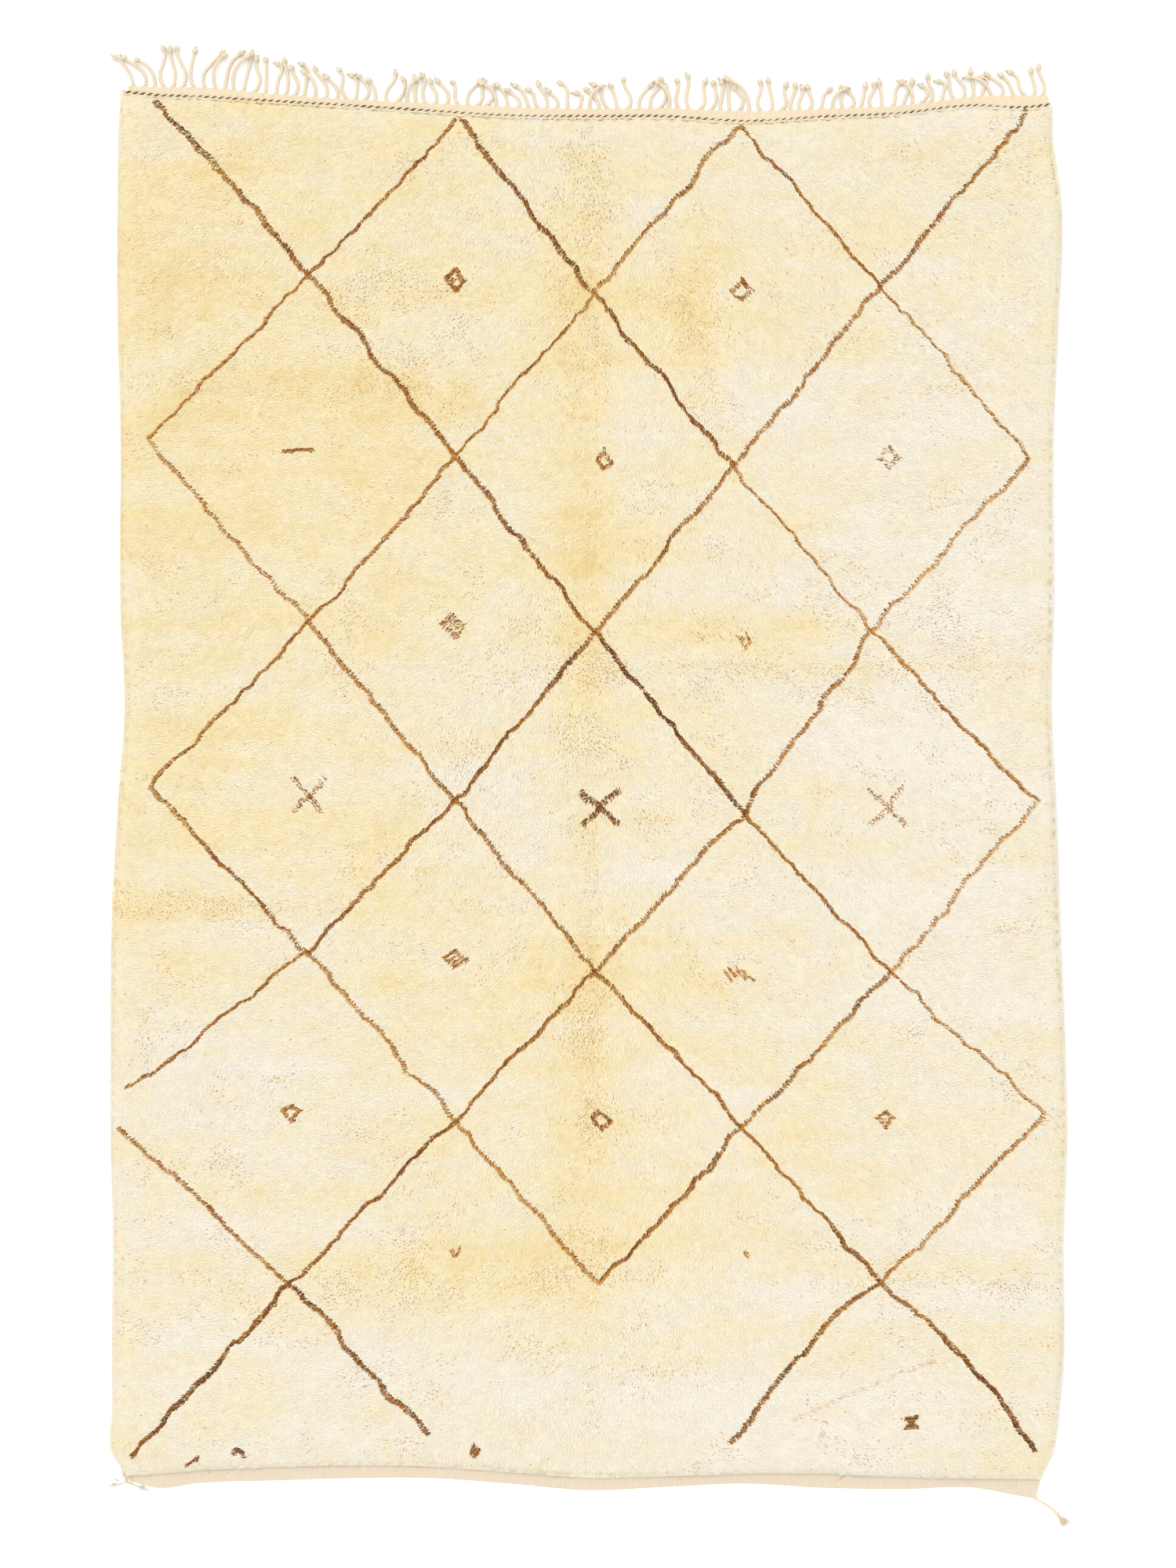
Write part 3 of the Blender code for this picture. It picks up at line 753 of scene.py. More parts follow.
class Shape:
    """A mesh gathered from arrays: points, faces of several sizes, and a map place for each corner."""

    def __init__(self):
        self.points = []
        self.faces = []
        self.places = []
        self.count = 0

    def add(self, points, faces, places):
        """faces and places are lists of arrays, one for each number of sides."""
        for corners, at in zip(faces, places):
            self.faces.append(corners + self.count)
            self.places.append(at)
        self.points.append(points)
        self.count += len(points)

    def mesh(self, name):
        mesh = bpy.data.meshes.new(name)
        points = np.concatenate(self.points).astype(np.float32)
        corners = np.concatenate([f.ravel() for f in self.faces]).astype(np.int32)
        sizes = np.concatenate([np.full(len(f), f.shape[1]) for f in self.faces])
        starts = np.concatenate(([0], np.cumsum(sizes)[:-1])).astype(np.int32)
        mesh.vertices.add(len(points))
        mesh.vertices.foreach_set("co", points.ravel())
        mesh.loops.add(len(corners))
        mesh.loops.foreach_set("vertex_index", corners)
        mesh.polygons.add(len(starts))
        mesh.polygons.foreach_set("loop_start", starts)
        layer = mesh.uv_layers.new(name=BAKE_MAP)
        places = np.concatenate([p.reshape(-1, 2) for p in self.places]).astype(np.float32)
        layer.uv.foreach_set("vector", places.ravel())
        mesh.update(calc_edges=True)
        mesh.shade_smooth()
        return mesh


def add_piece(name, mesh, material):
    """A piece of the rug, which rides on the one body."""
    mesh.materials.clear()
    mesh.materials.append(material)
    piece = bpy.data.objects.new(name, mesh)
    bpy.context.scene.collection.objects.link(piece)
    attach(piece, "root")
    return piece


def unit(vectors):
    return vectors / np.maximum(np.linalg.norm(vectors, axis=-1, keepdims=True), 1e-12)


def spaced(line, step):
    """The line again, as a smooth curve with even steps."""
    line = np.array(line, float)
    along = np.concatenate(([0.0], np.cumsum(np.linalg.norm(np.diff(line, axis=0), axis=1))))
    count = max(3, int(round(along[-1] / step)) + 1)
    at = np.linspace(0.0, along[-1], count)
    return np.column_stack([smooth(at, along, line[:, k]) for k in range(line.shape[1])]), at


def turns_of(line):
    """The line's left and its own up at each point."""
    heading = unit(np.gradient(line, axis=0))
    left = unit(np.cross(UP, heading))
    return left, np.cross(heading, left)


def cells(count):
    """The low corner and the side of each square of an even sheet of that many."""
    side = math.ceil(math.sqrt(count))
    for number in range(count):
        yield np.array((number % side, number // side)) / side, 1.0 / side


def add_tube(shape, line, radii, sides, place):
    """A closed tube along a line. place is its square on the map."""
    count = len(line)
    left, up = turns_of(line)
    turn = np.linspace(0, 2 * math.pi, sides, endpoint=False)
    ring = np.cos(turn)[None, :, None] * left[:, None] + np.sin(turn)[None, :, None] * up[:, None]
    points = (line[:, None] + ring * np.broadcast_to(radii, count)[:, None, None]).reshape(-1, 3)
    step, side = np.meshgrid(np.arange(count - 1), np.arange(sides), indexing="ij")
    after = (side + 1) % sides
    base = step * sides
    above = base + sides
    quads = np.stack((base + side, base + after, above + after, above + side), -1).reshape(-1, 4)
    across = np.stack((side, side + 1, side + 1, side), -1).reshape(-1, 4) / sides
    along = np.stack((step, step, step + 1, step + 1), -1).reshape(-1, 4) / (count - 1)
    low, width = place
    places = low + width * mix(MAP_MARGIN, 1 - MAP_MARGIN, np.stack((across, along), -1))
    ends = np.array((np.arange(sides)[::-1], (count - 1) * sides + np.arange(sides)))
    end_places = np.zeros((2, sides, 2)) + low + width * 0.5
    shape.add(points, [quads, ends], [places, end_places])


def level_line(x, y, height):
    return np.column_stack((x, y, np.full(len(x), height)))


def ply_lines(line, along, pitch, radius, swell=1.0):
    """The centre lines of two plies twisted round a line. swell is each point's share of the radius."""
    left, up = turns_of(line)
    out = (radius * swell * np.ones(len(line)))[:, None]
    for ply in range(2):
        turn = (2 * math.pi * (along / pitch + ply / 2))[:, None]
        yield line + out * (np.cos(turn) * left + np.sin(turn) * up)


# ---------------------------------------------------------------- materials


def linear(red, green, blue):
    """An sRGB colour of 0 to 255 as linear numbers with alpha."""
    shares = [c / 255 for c in (red, green, blue)]
    return [s / 12.92 if s <= 0.04045 else ((s + 0.055) / 1.055) ** 2.4 for s in shares] + [1.0]


class Finish:
    """A node material, with short calls for the nodes that these finishes share."""

    def __init__(self, name, roughness, sheen):
        self.material = bpy.data.materials.new(name)
        self.material.use_nodes = True
        self.nodes = self.material.node_tree.nodes
        self.links = self.material.node_tree.links
        self.shader = self.nodes["Principled BSDF"]
        self.put(self.shader, {"Roughness": roughness, "Specular IOR Level": 0.18})
        self.put(self.shader, {"Sheen Weight": sheen, "Sheen Roughness": 0.6})

    def put(self, node, values):
        """Sets inputs of a node, each to a number or a colour, or to what another node gives."""
        for name, value in values.items():
            if isinstance(value, bpy.types.NodeSocket):
                self.links.new(value, node.inputs[name])
            else:
                node.inputs[name].default_value = value

    def node(self, kind, values, **settings):
        node = self.nodes.new(kind)
        for name, value in settings.items():
            setattr(node, name, value)
        self.put(node, values)
        return node

    def math(self, operation, first, second=0.0):
        return self.node("ShaderNodeMath", {0: first, 1: second}, operation=operation).outputs[0]

    def split(self, vector):
        """The vector's X, Y and Z."""
        return self.node("ShaderNodeSeparateXYZ", {"Vector": vector}).outputs

    def place(self, scale=(1.0, 1.0, 1.0), location=(0.0, 0.0, 0.0), turn=0.0):
        """Object coordinates, less location, turned and then scaled."""
        where = self.node("ShaderNodeTexCoord", {}).outputs["Object"]
        values = {
            "Vector": where,
            "Location": location,
            "Rotation": (0.0, 0.0, turn),
            "Scale": [1.0 / s for s in scale],
        }
        return self.node("ShaderNodeMapping", values, vector_type="TEXTURE").outputs["Vector"]

    def noise(self, vector, scale, detail=2.0, roughness=0.5):
        values = {"Vector": vector, "Scale": scale, "Detail": detail, "Roughness": roughness}
        return self.node("ShaderNodeTexNoise", values).outputs["Fac"]

    def ramp(self, factor, stops):
        """A colour ramp through (place, linear colour) stops."""
        node = self.node("ShaderNodeValToRGB", {"Fac": factor})
        ramp = node.color_ramp
        while len(ramp.elements) < len(stops):
            ramp.elements.new(0.5)
        for element, (place, colour) in zip(ramp.elements, stops):
            element.position = place
            element.color = colour
        return node.outputs["Color"]

    def card(self, place):
        """The pile's colour at a place on its card."""
        return self.ramp(place, [(stop, linear(*colour)) for stop, colour in PILE_CARD])

    def blend(self, factor, first, second, kind="MIX"):
        values = {"Factor": factor, "A": first, "B": second}
        return self.node("ShaderNodeMix", values, data_type="RGBA", blend_type=kind).outputs["Result"]

    def spread(self, *numbers):
        """A value from between a low and a high number to between two others."""
        return self.node("ShaderNodeMapRange", dict(enumerate(numbers))).outputs["Result"]

    def bump(self, height, strength, distance):
        values = {"Strength": strength, "Distance": distance, "Height": height}
        self.put(self.shader, {"Normal": self.node("ShaderNodeBump", values).outputs["Normal"]})

    def colour(self, value):
        self.put(self.shader, {"Base Color": value})

    def rough(self, value):
        self.put(self.shader, {"Roughness": value})


def pile_finish():
    """Wool locks: the colour card across, and painted shade that darkens them towards the root."""
    finish = Finish("pile_wool", 0.85, 0.03)
    along, card, _ = finish.split(finish.node("ShaderNodeUVMap", {}, uv_map=BAKE_MAP).outputs["UV"])
    wool = finish.card(card)
    # painted shade: darker towards each lock's root
    shade = finish.ramp(along, [(place, (*c, 1.0)) for place, c in LOCK_PAINTED_SHADE])
    finish.colour(finish.blend(1.0, wool, shade, "MULTIPLY"))
    finish.rough(finish.spread(along, 0.0, 1.0, 0.95, 0.78))
    return finish.material


def bed_finish():
    """The wool between the locks: matted and streaked, with painted shade in streaks that makes it a little
    deeper than their tips.
    """
    finish = Finish("pile_bed_wool", 0.95, 0.1)
    key = finish.node("ShaderNodeAttribute", {}, attribute_name="card_place").outputs["Fac"]
    fibres = finish.noise(finish.place((1.0, 0.35, 1.0)), 420.0, 3.0, 0.6)
    wool = finish.card(key)
    # painted shade: the bed darkened in streaks, for the shade between the locks
    deep = finish.blend(1.0, wool, linear(244, 234, 214), "MULTIPLY")
    finish.colour(finish.blend(finish.spread(fibres, 0.35, 0.7, 1.0, 0.0), wool, deep))
    finish.rough(finish.spread(fibres, 0.3, 0.7, 0.98, 0.86))
    finish.bump(fibres, 0.3, 0.0008)
    return finish.material


def weave_finish(name, pale, deep, marks=()):
    """Plain weave: yarns crossing over and under, slubs, and soft marks."""
    finish = Finish(name, 0.9, 0.15)
    where = finish.place()
    turns = math.pi / YARN_STEP * 2
    x, y, _ = finish.split(where)
    warp, weft = [finish.math("SINE", finish.math("MULTIPLY", at, turns)) for at in (x, y)]
    over = finish.math("MULTIPLY", warp, weft)
    slubs = finish.noise(finish.place((1.0, 0.2, 1.0)), 260.0, 3.0, 0.6)
    cloudy = finish.noise(where, 14.0, 3.0)
    crossings = finish.spread(over, -1.0, 1.0, 0.0, 0.45)
    tone = finish.math("ADD", crossings, finish.spread(slubs, 0.3, 0.7, 0.0, 0.55))
    wool = finish.blend(tone, linear(*deep), linear(*pale))
    wool = finish.blend(finish.spread(cloudy, 0.35, 0.7, 0.0, 0.22), wool, linear(*deep))
    for x, y, width, length, turn, colour, strength in marks:
        scale = (2.0 / width, 2.0 / length, 40.0)
        reach = finish.place(scale, (x, y, GROUND_THICKNESS), math.radians(turn))
        ball = finish.node("ShaderNodeTexGradient", {"Vector": reach}, gradient_type="SPHERICAL")
        spot = finish.spread(ball.outputs["Fac"], 0.0, 0.5, 0.0, strength)
        wool = finish.blend(spot, wool, linear(*colour))
    finish.colour(wool)
    finish.rough(finish.spread(slubs, 0.3, 0.7, 0.96, 0.84))
    finish.bump(finish.math("ADD", over, slubs), 0.35, 0.0006)
    return finish.material


def yarn_finish(name, pale, deep, fleck=0.35):
    """Twisted yarn: fine hairs along it, and deeper wool here and there."""
    finish = Finish(name, 0.88, 0.2)
    hairs = finish.noise(finish.place(), 700.0, 3.0, 0.65)
    cloudy = finish.noise(finish.place(), 38.0, 3.0)
    wool = finish.blend(finish.spread(hairs, 0.35, 0.65, 0.0, 1.0), linear(*deep), linear(*pale))
    wool = finish.blend(finish.spread(cloudy, 0.4, 0.7, 0.0, fleck), wool, linear(*deep))
    finish.colour(wool)
    finish.rough(finish.spread(hairs, 0.3, 0.7, 0.96, 0.8))
    finish.bump(hairs, 0.45, 0.0006)
    return finish.material


def floor_finish():
    """A plain pale floor, matt, with the least unevenness."""
    finish = Finish("floor_paint", 0.95, 0.0)
    cloudy = finish.noise(finish.place(), 1.3, 2.0)
    finish.colour(finish.blend(cloudy, linear(245, 245, 244), linear(248, 248, 247)))
    return finish.material


# ---------------------------------------------------------------- the pattern


def wandered(x, y):
    """How far the weaver's line strays at a place, along X and Y."""
    ways = []
    for seed in WANDER_SEEDS:
        rows = [(size, size, reach, seed + i) for i, (size, reach) in enumerate(WANDER_ROWS)]
        ways.append(clouds(x, y, rows))
    return ways


def net_strokes():
    """Each straight stretch of the net, as start, end and the letter of its stroke."""
    for names, letters in NET_LINES:
        ends = [CROSSINGS[name] for name in names.split()]
        yield from zip(ends, ends[1:], letters)


def stretches(lines):
    """Each straight stretch of each line, as its start and end."""
    for line in lines:
        yield from zip(line, line[1:])


def motif_strokes():
    for motif in MOTIFS:
        middle = np.array((motif["x"], motif["y"]))
        size = np.array((motif["width"], motif["height"]))
        for start, end in stretches(FORMS[motif["form"]]):
            yield middle + size * start, middle + size * end, motif["stroke"]


ALL_STROKES = [*net_strokes(), *motif_strokes()]


def bare_share(x, y):
    """The share of cream locks that are gone at each place, for the brown ones."""
    dx, dy = wandered(x, y)
    found = np.zeros(len(x))
    for start, end, letter in ALL_STROKES:
        stroke = STROKES[letter]
        away, _ = away_from(x + dx, y + dy, start, end)
        found = np.maximum(found, stroke["bare"] * (away < stroke["half_width"]))
    return found


def stained(x, y):
    """True where the stain is."""
    away = [away_from(x, y, start, end)[0] for start, end in stretches(STAIN_LINES)]
    return np.min(away, axis=0) < STAIN_HALF_WIDTH


def along_stroke(start, end, step, rows, half_width, rng):
    """Shaken places along a straight stroke, in rows side by side."""
    line = np.array(end) - np.array(start)
    length = np.linalg.norm(line)
    ahead = line / length
    steps = max(2, round(length / step))
    beside = np.linspace(-1, 1, rows) if rows > 1 else [0.0]
    along, across = np.meshgrid(np.linspace(0, length, steps), beside)
    along = along.ravel() + rng.normal(0, step * STROKE_SHAKE["along"], along.size)
    across = across.ravel() * half_width + rng.normal(0, half_width * STROKE_SHAKE["across"], across.size)
    x = start[0] + ahead[0] * along - ahead[1] * across
    y = start[1] + ahead[1] * along + ahead[0] * across
    return x, y


def gathered(rows):
    """One set of locks from several."""
    return {name: np.concatenate([row[name] for row in rows]) for name in rows[0]}


def locks_at(x, y, root, tip, lock, lift=0.0, pull=1.0):
    """Locks at these places, alike in size."""
    own = {"root": root, "tip": tip, **lock, "lift": lift, "pull": pull}
    return {"x": x, "y": y, **{name: value * np.ones(len(x)) for name, value in own.items()}}


def stroke_locks(rng):
    """The brown locks of the net and the motifs, and the dark teeth where they come up: brown roots with
    painted shade.
    """
    found = []
    for start, end, letter in ALL_STROKES:
        stroke = STROKES[letter]
        width = stroke["half_width"]
        x, y = along_stroke(start, end, stroke["step"], stroke["rows"], width * STROKE_INSET, rng)
        dx, dy = wandered(x, y)
        shade = clouds(x, y, STROKE_CLOUDS) + rng.normal(0, STROKE_TINT, len(x))
        tip = np.clip(stroke["tip"] + shade, 0.02, 0.33)
        root = np.clip(stroke["root"] + 0.6 * shade, 0.0, 0.3)
        found.append(locks_at(x - dx, y - dy, root, tip, STROKE_LOCK, STROKE_LIFT, STROKE_PULL))
        x, y = along_stroke(start, end, TOOTH_STEP, 1, width * TOOTH_INSET, rng)
        dx, dy = wandered(x, y)
        lay_x, lay_y = lay_of(x, y).T
        x = x - dx - TOOTH_SHIFT * lay_x
        y = y - dy - TOOTH_SHIFT * lay_y
        # painted shade: the teeth are darker than the line's roots, for the shade where they come up
        tint = TOOTH_SHADED_ROOT_COLOUR + stroke["root"] * 0.5 + rng.normal(0, TOOTH_TINT, len(x))
        tint = np.clip(tint, 0, 0.3)
        found.append(locks_at(x, y, tint, tint, TOOTH_LOCK, TOOTH_LIFT, 0.0))
    return gathered(found)


# ---------------------------------------------------------------- the pile


def patched(x, y, value, patches, name):
    """The value at each place, with what soft patches add to it, most in their middles."""
    for patch in patches:
        u = (x - patch["x"]) / patch["half_width"]
        v = (y - patch["y"]) / patch["half_length"]
        value = value + patch[name] * np.exp(-(u * u + v * v))
    return value


def warmth(x, y):
    """How warm the cream wool is at each place, from 0 for palest to 1 for warmest."""
    return patched(x, y, WARMTH_MIDDLE + clouds(x, y, WARM_CLOUDS), WARM_PATCHES, "warmth")


def card_place(warm):
    """Where wool this warm is on the colour card."""
    return mix(PALEST_PLACE, WARMEST_PLACE, np.clip(warm, 0, 1))


def rim_gaps(x, y):
    """How far each place is inside the pile's left, right, lower and upper rim."""
    return np.stack(
        (
            x - side_line("left", y),
            side_line("right", y) - x,
            y - end_line("pile_foot", x) + FOOT_OVERHANG,
            end_line("twined_row", x) - ROW_RADIUS + HEAD_OVERLAP - y,
        )
    )


def parting_ends(parting):
    """Where the parting starts and ends."""
    start = np.array((parting["x_start"], parting["y_start"]))
    end = np.array((parting["x_end"], parting["y_end"]))
    return start, end


def lay_of(x, y):
    """The way the pile lies at each place, as unit vectors."""
    turn = LAY_DOWN + LAY_SPREAD * np.tanh(x / LAY_REACH)
    for size, most, seed in LAY_SWIRLS:
        turn = turn + most * swirl(x, y, size, size, seed)
    lay = np.stack((np.cos(turn), np.sin(turn)), -1)
    for parting in PARTINGS:
        start, end = parting_ends(parting)
        away, side = away_from(x, y, start, end)
        line = unit(end - start)
        outward = side[:, None] * np.array((-line[1], line[0]))
        pull = parting["strength"] * np.exp(-((away / parting["half_width"]) ** 2))
        lay = lay + pull[:, None] * outward
    for gap, (lean_x, lean_y, reach) in zip(rim_gaps(x, y), RIM_LEANS):
        lay = lay + ease(1 - gap / reach)[:, None] * np.array((lean_x, lean_y))
    return unit(lay)


def turned(vectors, angles):
    x, y = vectors.T
    cos = np.cos(angles)
    sin = np.sin(angles)
    return np.stack((x * cos - y * sin, x * sin + y * cos), -1)


class Clumps:
    """Locks gather in clumps, each with a middle on a shaken grid and its own turn, lift and tint."""

    SIZE = 256

    def __init__(self):
        rng = np.random.default_rng(SEEDS["clumps"])
        self.shift = rng.uniform(-CLUMP_SHAKE, CLUMP_SHAKE, (self.SIZE, self.SIZE, 2))
        self.own = rng.normal(0, 1, (self.SIZE, self.SIZE, 3))

    def nearest(self, x, y):
        """The middle of each place's clump, and its turn, lift and tint."""
        i = np.floor(x / CLUMP_SIZE).astype(int)
        j = np.floor(y / CLUMP_SIZE).astype(int)
        best = np.full(len(x), np.inf)
        middle = np.zeros((len(x), 2))
        own = np.zeros((len(x), 3))
        for di in (-1, 0, 1):
            for dj in (-1, 0, 1):
                key = (i + di) % self.SIZE, (j + dj) % self.SIZE
                place = (np.stack((i + di, j + dj), -1) + 0.5 + self.shift[key]) * CLUMP_SIZE
                away = np.hypot(place[:, 0] - x, place[:, 1] - y)
                nearer = away < best
                best[nearer] = away[nearer]
                middle[nearer] = place[nearer]
                own[nearer] = self.own[key][nearer]
        return middle, own.T


def lock_shape(locks, heights, clumps, rng):
    """The locks as arrays of points, normals and map places.

    Each is a bent kite of four points: one at its root, two at its bend and one at its tip.
    """
    x, y = locks["x"], locks["y"]
    count = len(x)
    middle, (clump_turn, clump_lift, _) = clumps.nearest(x, y)
    lay = turned(lay_of(x, y), CLUMP_TURN * clump_turn + LOCK_TURN * rng.normal(0, 1, count))
    gaps = rim_gaps(x, y).min(0)
    reach = locks["reach"] * rng.uniform(*LOCK_REACHES, count)
    reach = np.minimum(reach, np.maximum(gaps / LOCK_AHEAD["tip"], LEAST_REACH))
    here = np.column_stack((x, y))
    root, bend, tip = [here + lay * (ahead * reach)[:, None] for ahead in LOCK_AHEAD.values()]
    pull = CLUMP_PULL * ease(gaps / RIM_LEAN) * locks["pull"]
    tip = tip + (middle - here) * pull[:, None]
    raised = locks["lift"] + CLUMP_LIFT * clump_lift + RIM_LIFT * ease(1 - gaps / RIM_LIFT_REACH)
    raised = (0.0, raised, raised + LOCK_TIP_WANDER * rng.normal(0, 1, count))
    corners = []
    for flat, up, (own, least) in zip((root, bend, tip), raised, LOCK_HEIGHTS):
        height = heights.at(*flat.T) + (own + up)
        corners.append(np.column_stack((flat, np.maximum(height, least))))
    roots, bends, tips = corners
    roll = rng.normal(0, LOCK_ROLL, count)
    side = np.column_stack((-lay[:, 1] * np.cos(roll), lay[:, 0] * np.cos(roll), np.sin(roll)))
    half = side * (locks["width"] * rng.uniform(*LOCK_HALVES, count))[:, None]
    points = np.stack((roots, bends - half, bends + half, tips), 1)
    up = unit(mix(unit(np.cross(unit(tips - bends), side)), UP, LOCK_LEVELLING))
    normals = np.stack((up, up - LOCK_ROUNDNESS * side, up + LOCK_ROUNDNESS * side, up), 1)
    bend_colour = mix(locks["root"], locks["tip"], LOCK_BEND_PLACE)
    colour = np.stack((locks["root"], bend_colour, locks["tip"]), 1)
    along = np.broadcast_to(np.array((0.0, LOCK_BEND_PLACE, LOCK_BEND_PLACE, 1.0)), (count, 4))
    places = np.stack((along, colour[:, [0, 1, 1, 2]]), -1)
    return points, unit(normals), places


def lock_mesh(name, points, normals, places):
    first = np.arange(len(points))[:, None] * 4
    corners = np.concatenate((first + np.array((0, 1, 2)), first + np.array((1, 3, 2))))
    shape = Shape()
    shape.add(points.reshape(-1, 3), [corners], [places.reshape(-1, 2)[corners]])
    mesh = shape.mesh(name)
    mesh.normals_split_custom_set_from_vertices(normals.reshape(-1, 3))
    return mesh


def shaken(x, y, step, reach, rng):
    """The places again, each moved by up to that share of the step."""
    x = x + rng.uniform(-reach, reach, x.size) * step
    y = y + rng.uniform(-reach, reach, y.size) * step
    return x, y


def shaken_grid(spacing, rng):
    low, high = CAD_BOX
    x, y = np.meshgrid(np.arange(low[0], high[0], spacing), np.arange(low[1], high[1], spacing))
    return shaken(x.ravel(), y.ravel(), spacing, 0.5, rng)


def rim_places(rng):
    """Places close together along the pile's four edges, so that its rim is even."""
    low, high = CAD_BOX
    rows = []
    for inset in RIM_ROWS:
        x = np.arange(low[0], high[0], RIM_STEP)
        y = np.arange(low[1], high[1], RIM_STEP)
        rows.append(np.stack((x, end_line("pile_foot", x) - FOOT_OVERHANG + inset)))
        rows.append(np.stack((x, end_line("twined_row", x) - ROW_RADIUS + HEAD_OVERLAP - inset)))
        rows.append(np.stack((side_line("left", y) + inset, y)))
        rows.append(np.stack((side_line("right", y) - inset, y)))
    x, y = shaken(*np.concatenate(rows, axis=1), RIM_STEP, RIM_SHAKE, rng)
    kept = rim_gaps(x, y).min(0) > RIM_LEAST
    return x[kept], y[kept]


def cream_places(rng):
    """A shaken grid of places where cream locks show, and the places along the rim."""
    x, y = shaken_grid(LOCK_SPACING, rng)
    inside = (rim_gaps(x, y) > np.array(RIM_INSETS)[:, None]).all(0)
    rim_x, rim_y = rim_places(rng)
    x = np.concatenate((x[inside], rim_x))
    y = np.concatenate((y[inside], rim_y))
    kept = rng.random(len(x)) >= bare_share(x, y)
    return x[kept], y[kept]


def crease_shade_locks(rng):
    """Tan locks of painted shade strewn along the partings, thicker where these are stronger."""
    places = []
    for parting in PARTINGS:
        start, end = parting_ends(parting)
        line = end - start
        count = int(CREASE_LOCKS * np.linalg.norm(line) * parting["strength"])
        places.append(start + rng.random((count, 1)) * line + rng.normal(0, CREASE_WANDER, (count, 2)))
    x, y = np.concatenate(places).T
    kept = (rim_gaps(x, y).min(0) > SHADE_FLECK_INSET) & (clouds(x, y, CREASE_CLOUDS) > CREASE_LEAST)
    x, y = x[kept], y[kept]
    tint = np.clip(CREASE_SHADE_COLOUR + rng.normal(0, CREASE_TINT, len(x)), 0.2, 0.40)
    return locks_at(x, y, tint, tint, SHADE_FLECK_LOCK, SHADE_FLECK_LIFT, 0.0)


def fleck_locks(rng):
    """Short dark tan locks of painted shade for the gaps between locks, gathered where the pile is rougher.
    """
    x, y = shaken_grid(SHADE_FLECK_SPACING, rng)
    rough = patched(x, y, clouds(x, y, ROUGH_CLOUDS), ROUGH_PATCHES, "roughness")
    share = SHADE_FLECK_SHARE + np.maximum(rough - SHADE_FLECK_ROUGHNESS, 0)
    kept = (rim_gaps(x, y).min(0) > SHADE_FLECK_INSET) & (rng.random(len(x)) < share)
    x, y, rough = x[kept], y[kept], rough[kept]
    # painted shade: the flecks are darker where the pile is rougher
    tint = SHADE_FLECK_COLOUR - 0.05 * np.maximum(rough, 0) + rng.normal(0, SHADE_FLECK_TINT, len(x))
    tint = np.clip(tint, 0.1, 0.36)
    return gathered((locks_at(x, y, tint, tint, SHADE_FLECK_LOCK, SHADE_FLECK_LIFT, 0.0), crease_shade_locks(rng)))


def cream_colours(x, y, clumps, rng):
    """Each cream lock's place on the colour card."""
    _, (_, _, clump_tint) = clumps.nearest(x, y)
    warm = warmth(x, y) + CLUMP_TINT * clump_tint + LOCK_TINT * rng.normal(0, 1, len(x))
    colour = card_place(warm)
    stain = stained(x, y) & (rng.random(len(x)) < STAIN_SHARE)
    return np.where(stain, STAIN_PLACE, colour)


def build_pile():
    """The bed, the cream locks in bands along the rug, and the brown locks of the pattern."""
    wool = pile_finish()
    clumps = Clumps()
    pieces = [build_bed()]
    heights = Heights(pieces[0])
    rng = np.random.default_rng(SEEDS["pile"])
    x, y = cream_places(rng)
    colour = cream_colours(x, y, clumps, rng)
    cream = locks_at(x, y, colour, colour, CREAM_LOCK)
    edges = np.quantile(y, np.linspace(0, 1, PILE_PIECES + 1)[1:-1])
    band = np.searchsorted(edges, y)
    sets = {f"pile_locks_{n + 1}": {k: v[band == n] for k, v in cream.items()} for n in range(PILE_PIECES)}
    sets["pattern_locks"] = stroke_locks(rng)
    # painted shade: dark tan locks in the gaps between locks and along the partings
    sets["fleck_locks"] = fleck_locks(rng)
    for name, locks in sets.items():
        mesh = lock_mesh(name, *lock_shape(locks, heights, clumps, rng))
        pieces.append(add_piece(name, mesh, wool))
    return pieces


def build_bed():
    """The matted wool under the locks: the CAD pile, lower and smoother, with small lumps."""
    shape = bmesh.new()
    shape.from_mesh(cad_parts["pile"].data)
    bmesh.ops.remove_doubles(shape, verts=shape.verts, dist=0.00001)
    for vert in shape.verts:
        height = vert.co.z - PILE_BASE
        vert.co.z = PILE_BASE + max(BED_SHARE * height, height - BED_DEPTH)
        gap = vert.co.y - end_line("pile_foot", vert.co.x)
        vert.co.y -= FOOT_OVERHANG * ease(1 - gap / FOOT_REACH)
    mesh = finished(shape, "pile_bed")
    x, y, _ = np.array([vert.co for vert in mesh.vertices]).T
    key = mesh.attributes.new("card_place", "FLOAT", "POINT")
    key.data.foreach_set("value", card_place(warmth(x, y)).astype(np.float32))
    bed = add_piece("pile_bed", mesh, bed_finish())
    add_lumps(bed)
    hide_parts("pile")
    return bed


def add_lumps(bed):
    """Rounds the bed off and gives it small lumps."""
    rounding = bed.modifiers.new("rounding", "SUBSURF")
    rounding.levels = rounding.render_levels = 1
    lumps = bpy.data.textures.new("bed_lumps", "CLOUDS")
    lumps.noise_scale = LUMP_SIZE
    relief = bed.modifiers.new("relief", "DISPLACE")
    relief.texture = lumps
    relief.texture_coords = "GLOBAL"
    relief.direction = "Z"
    relief.strength = LUMP_HEIGHT
    relief.mid_level = 1.0


# ---------------------------------------------------------------- the woven ground


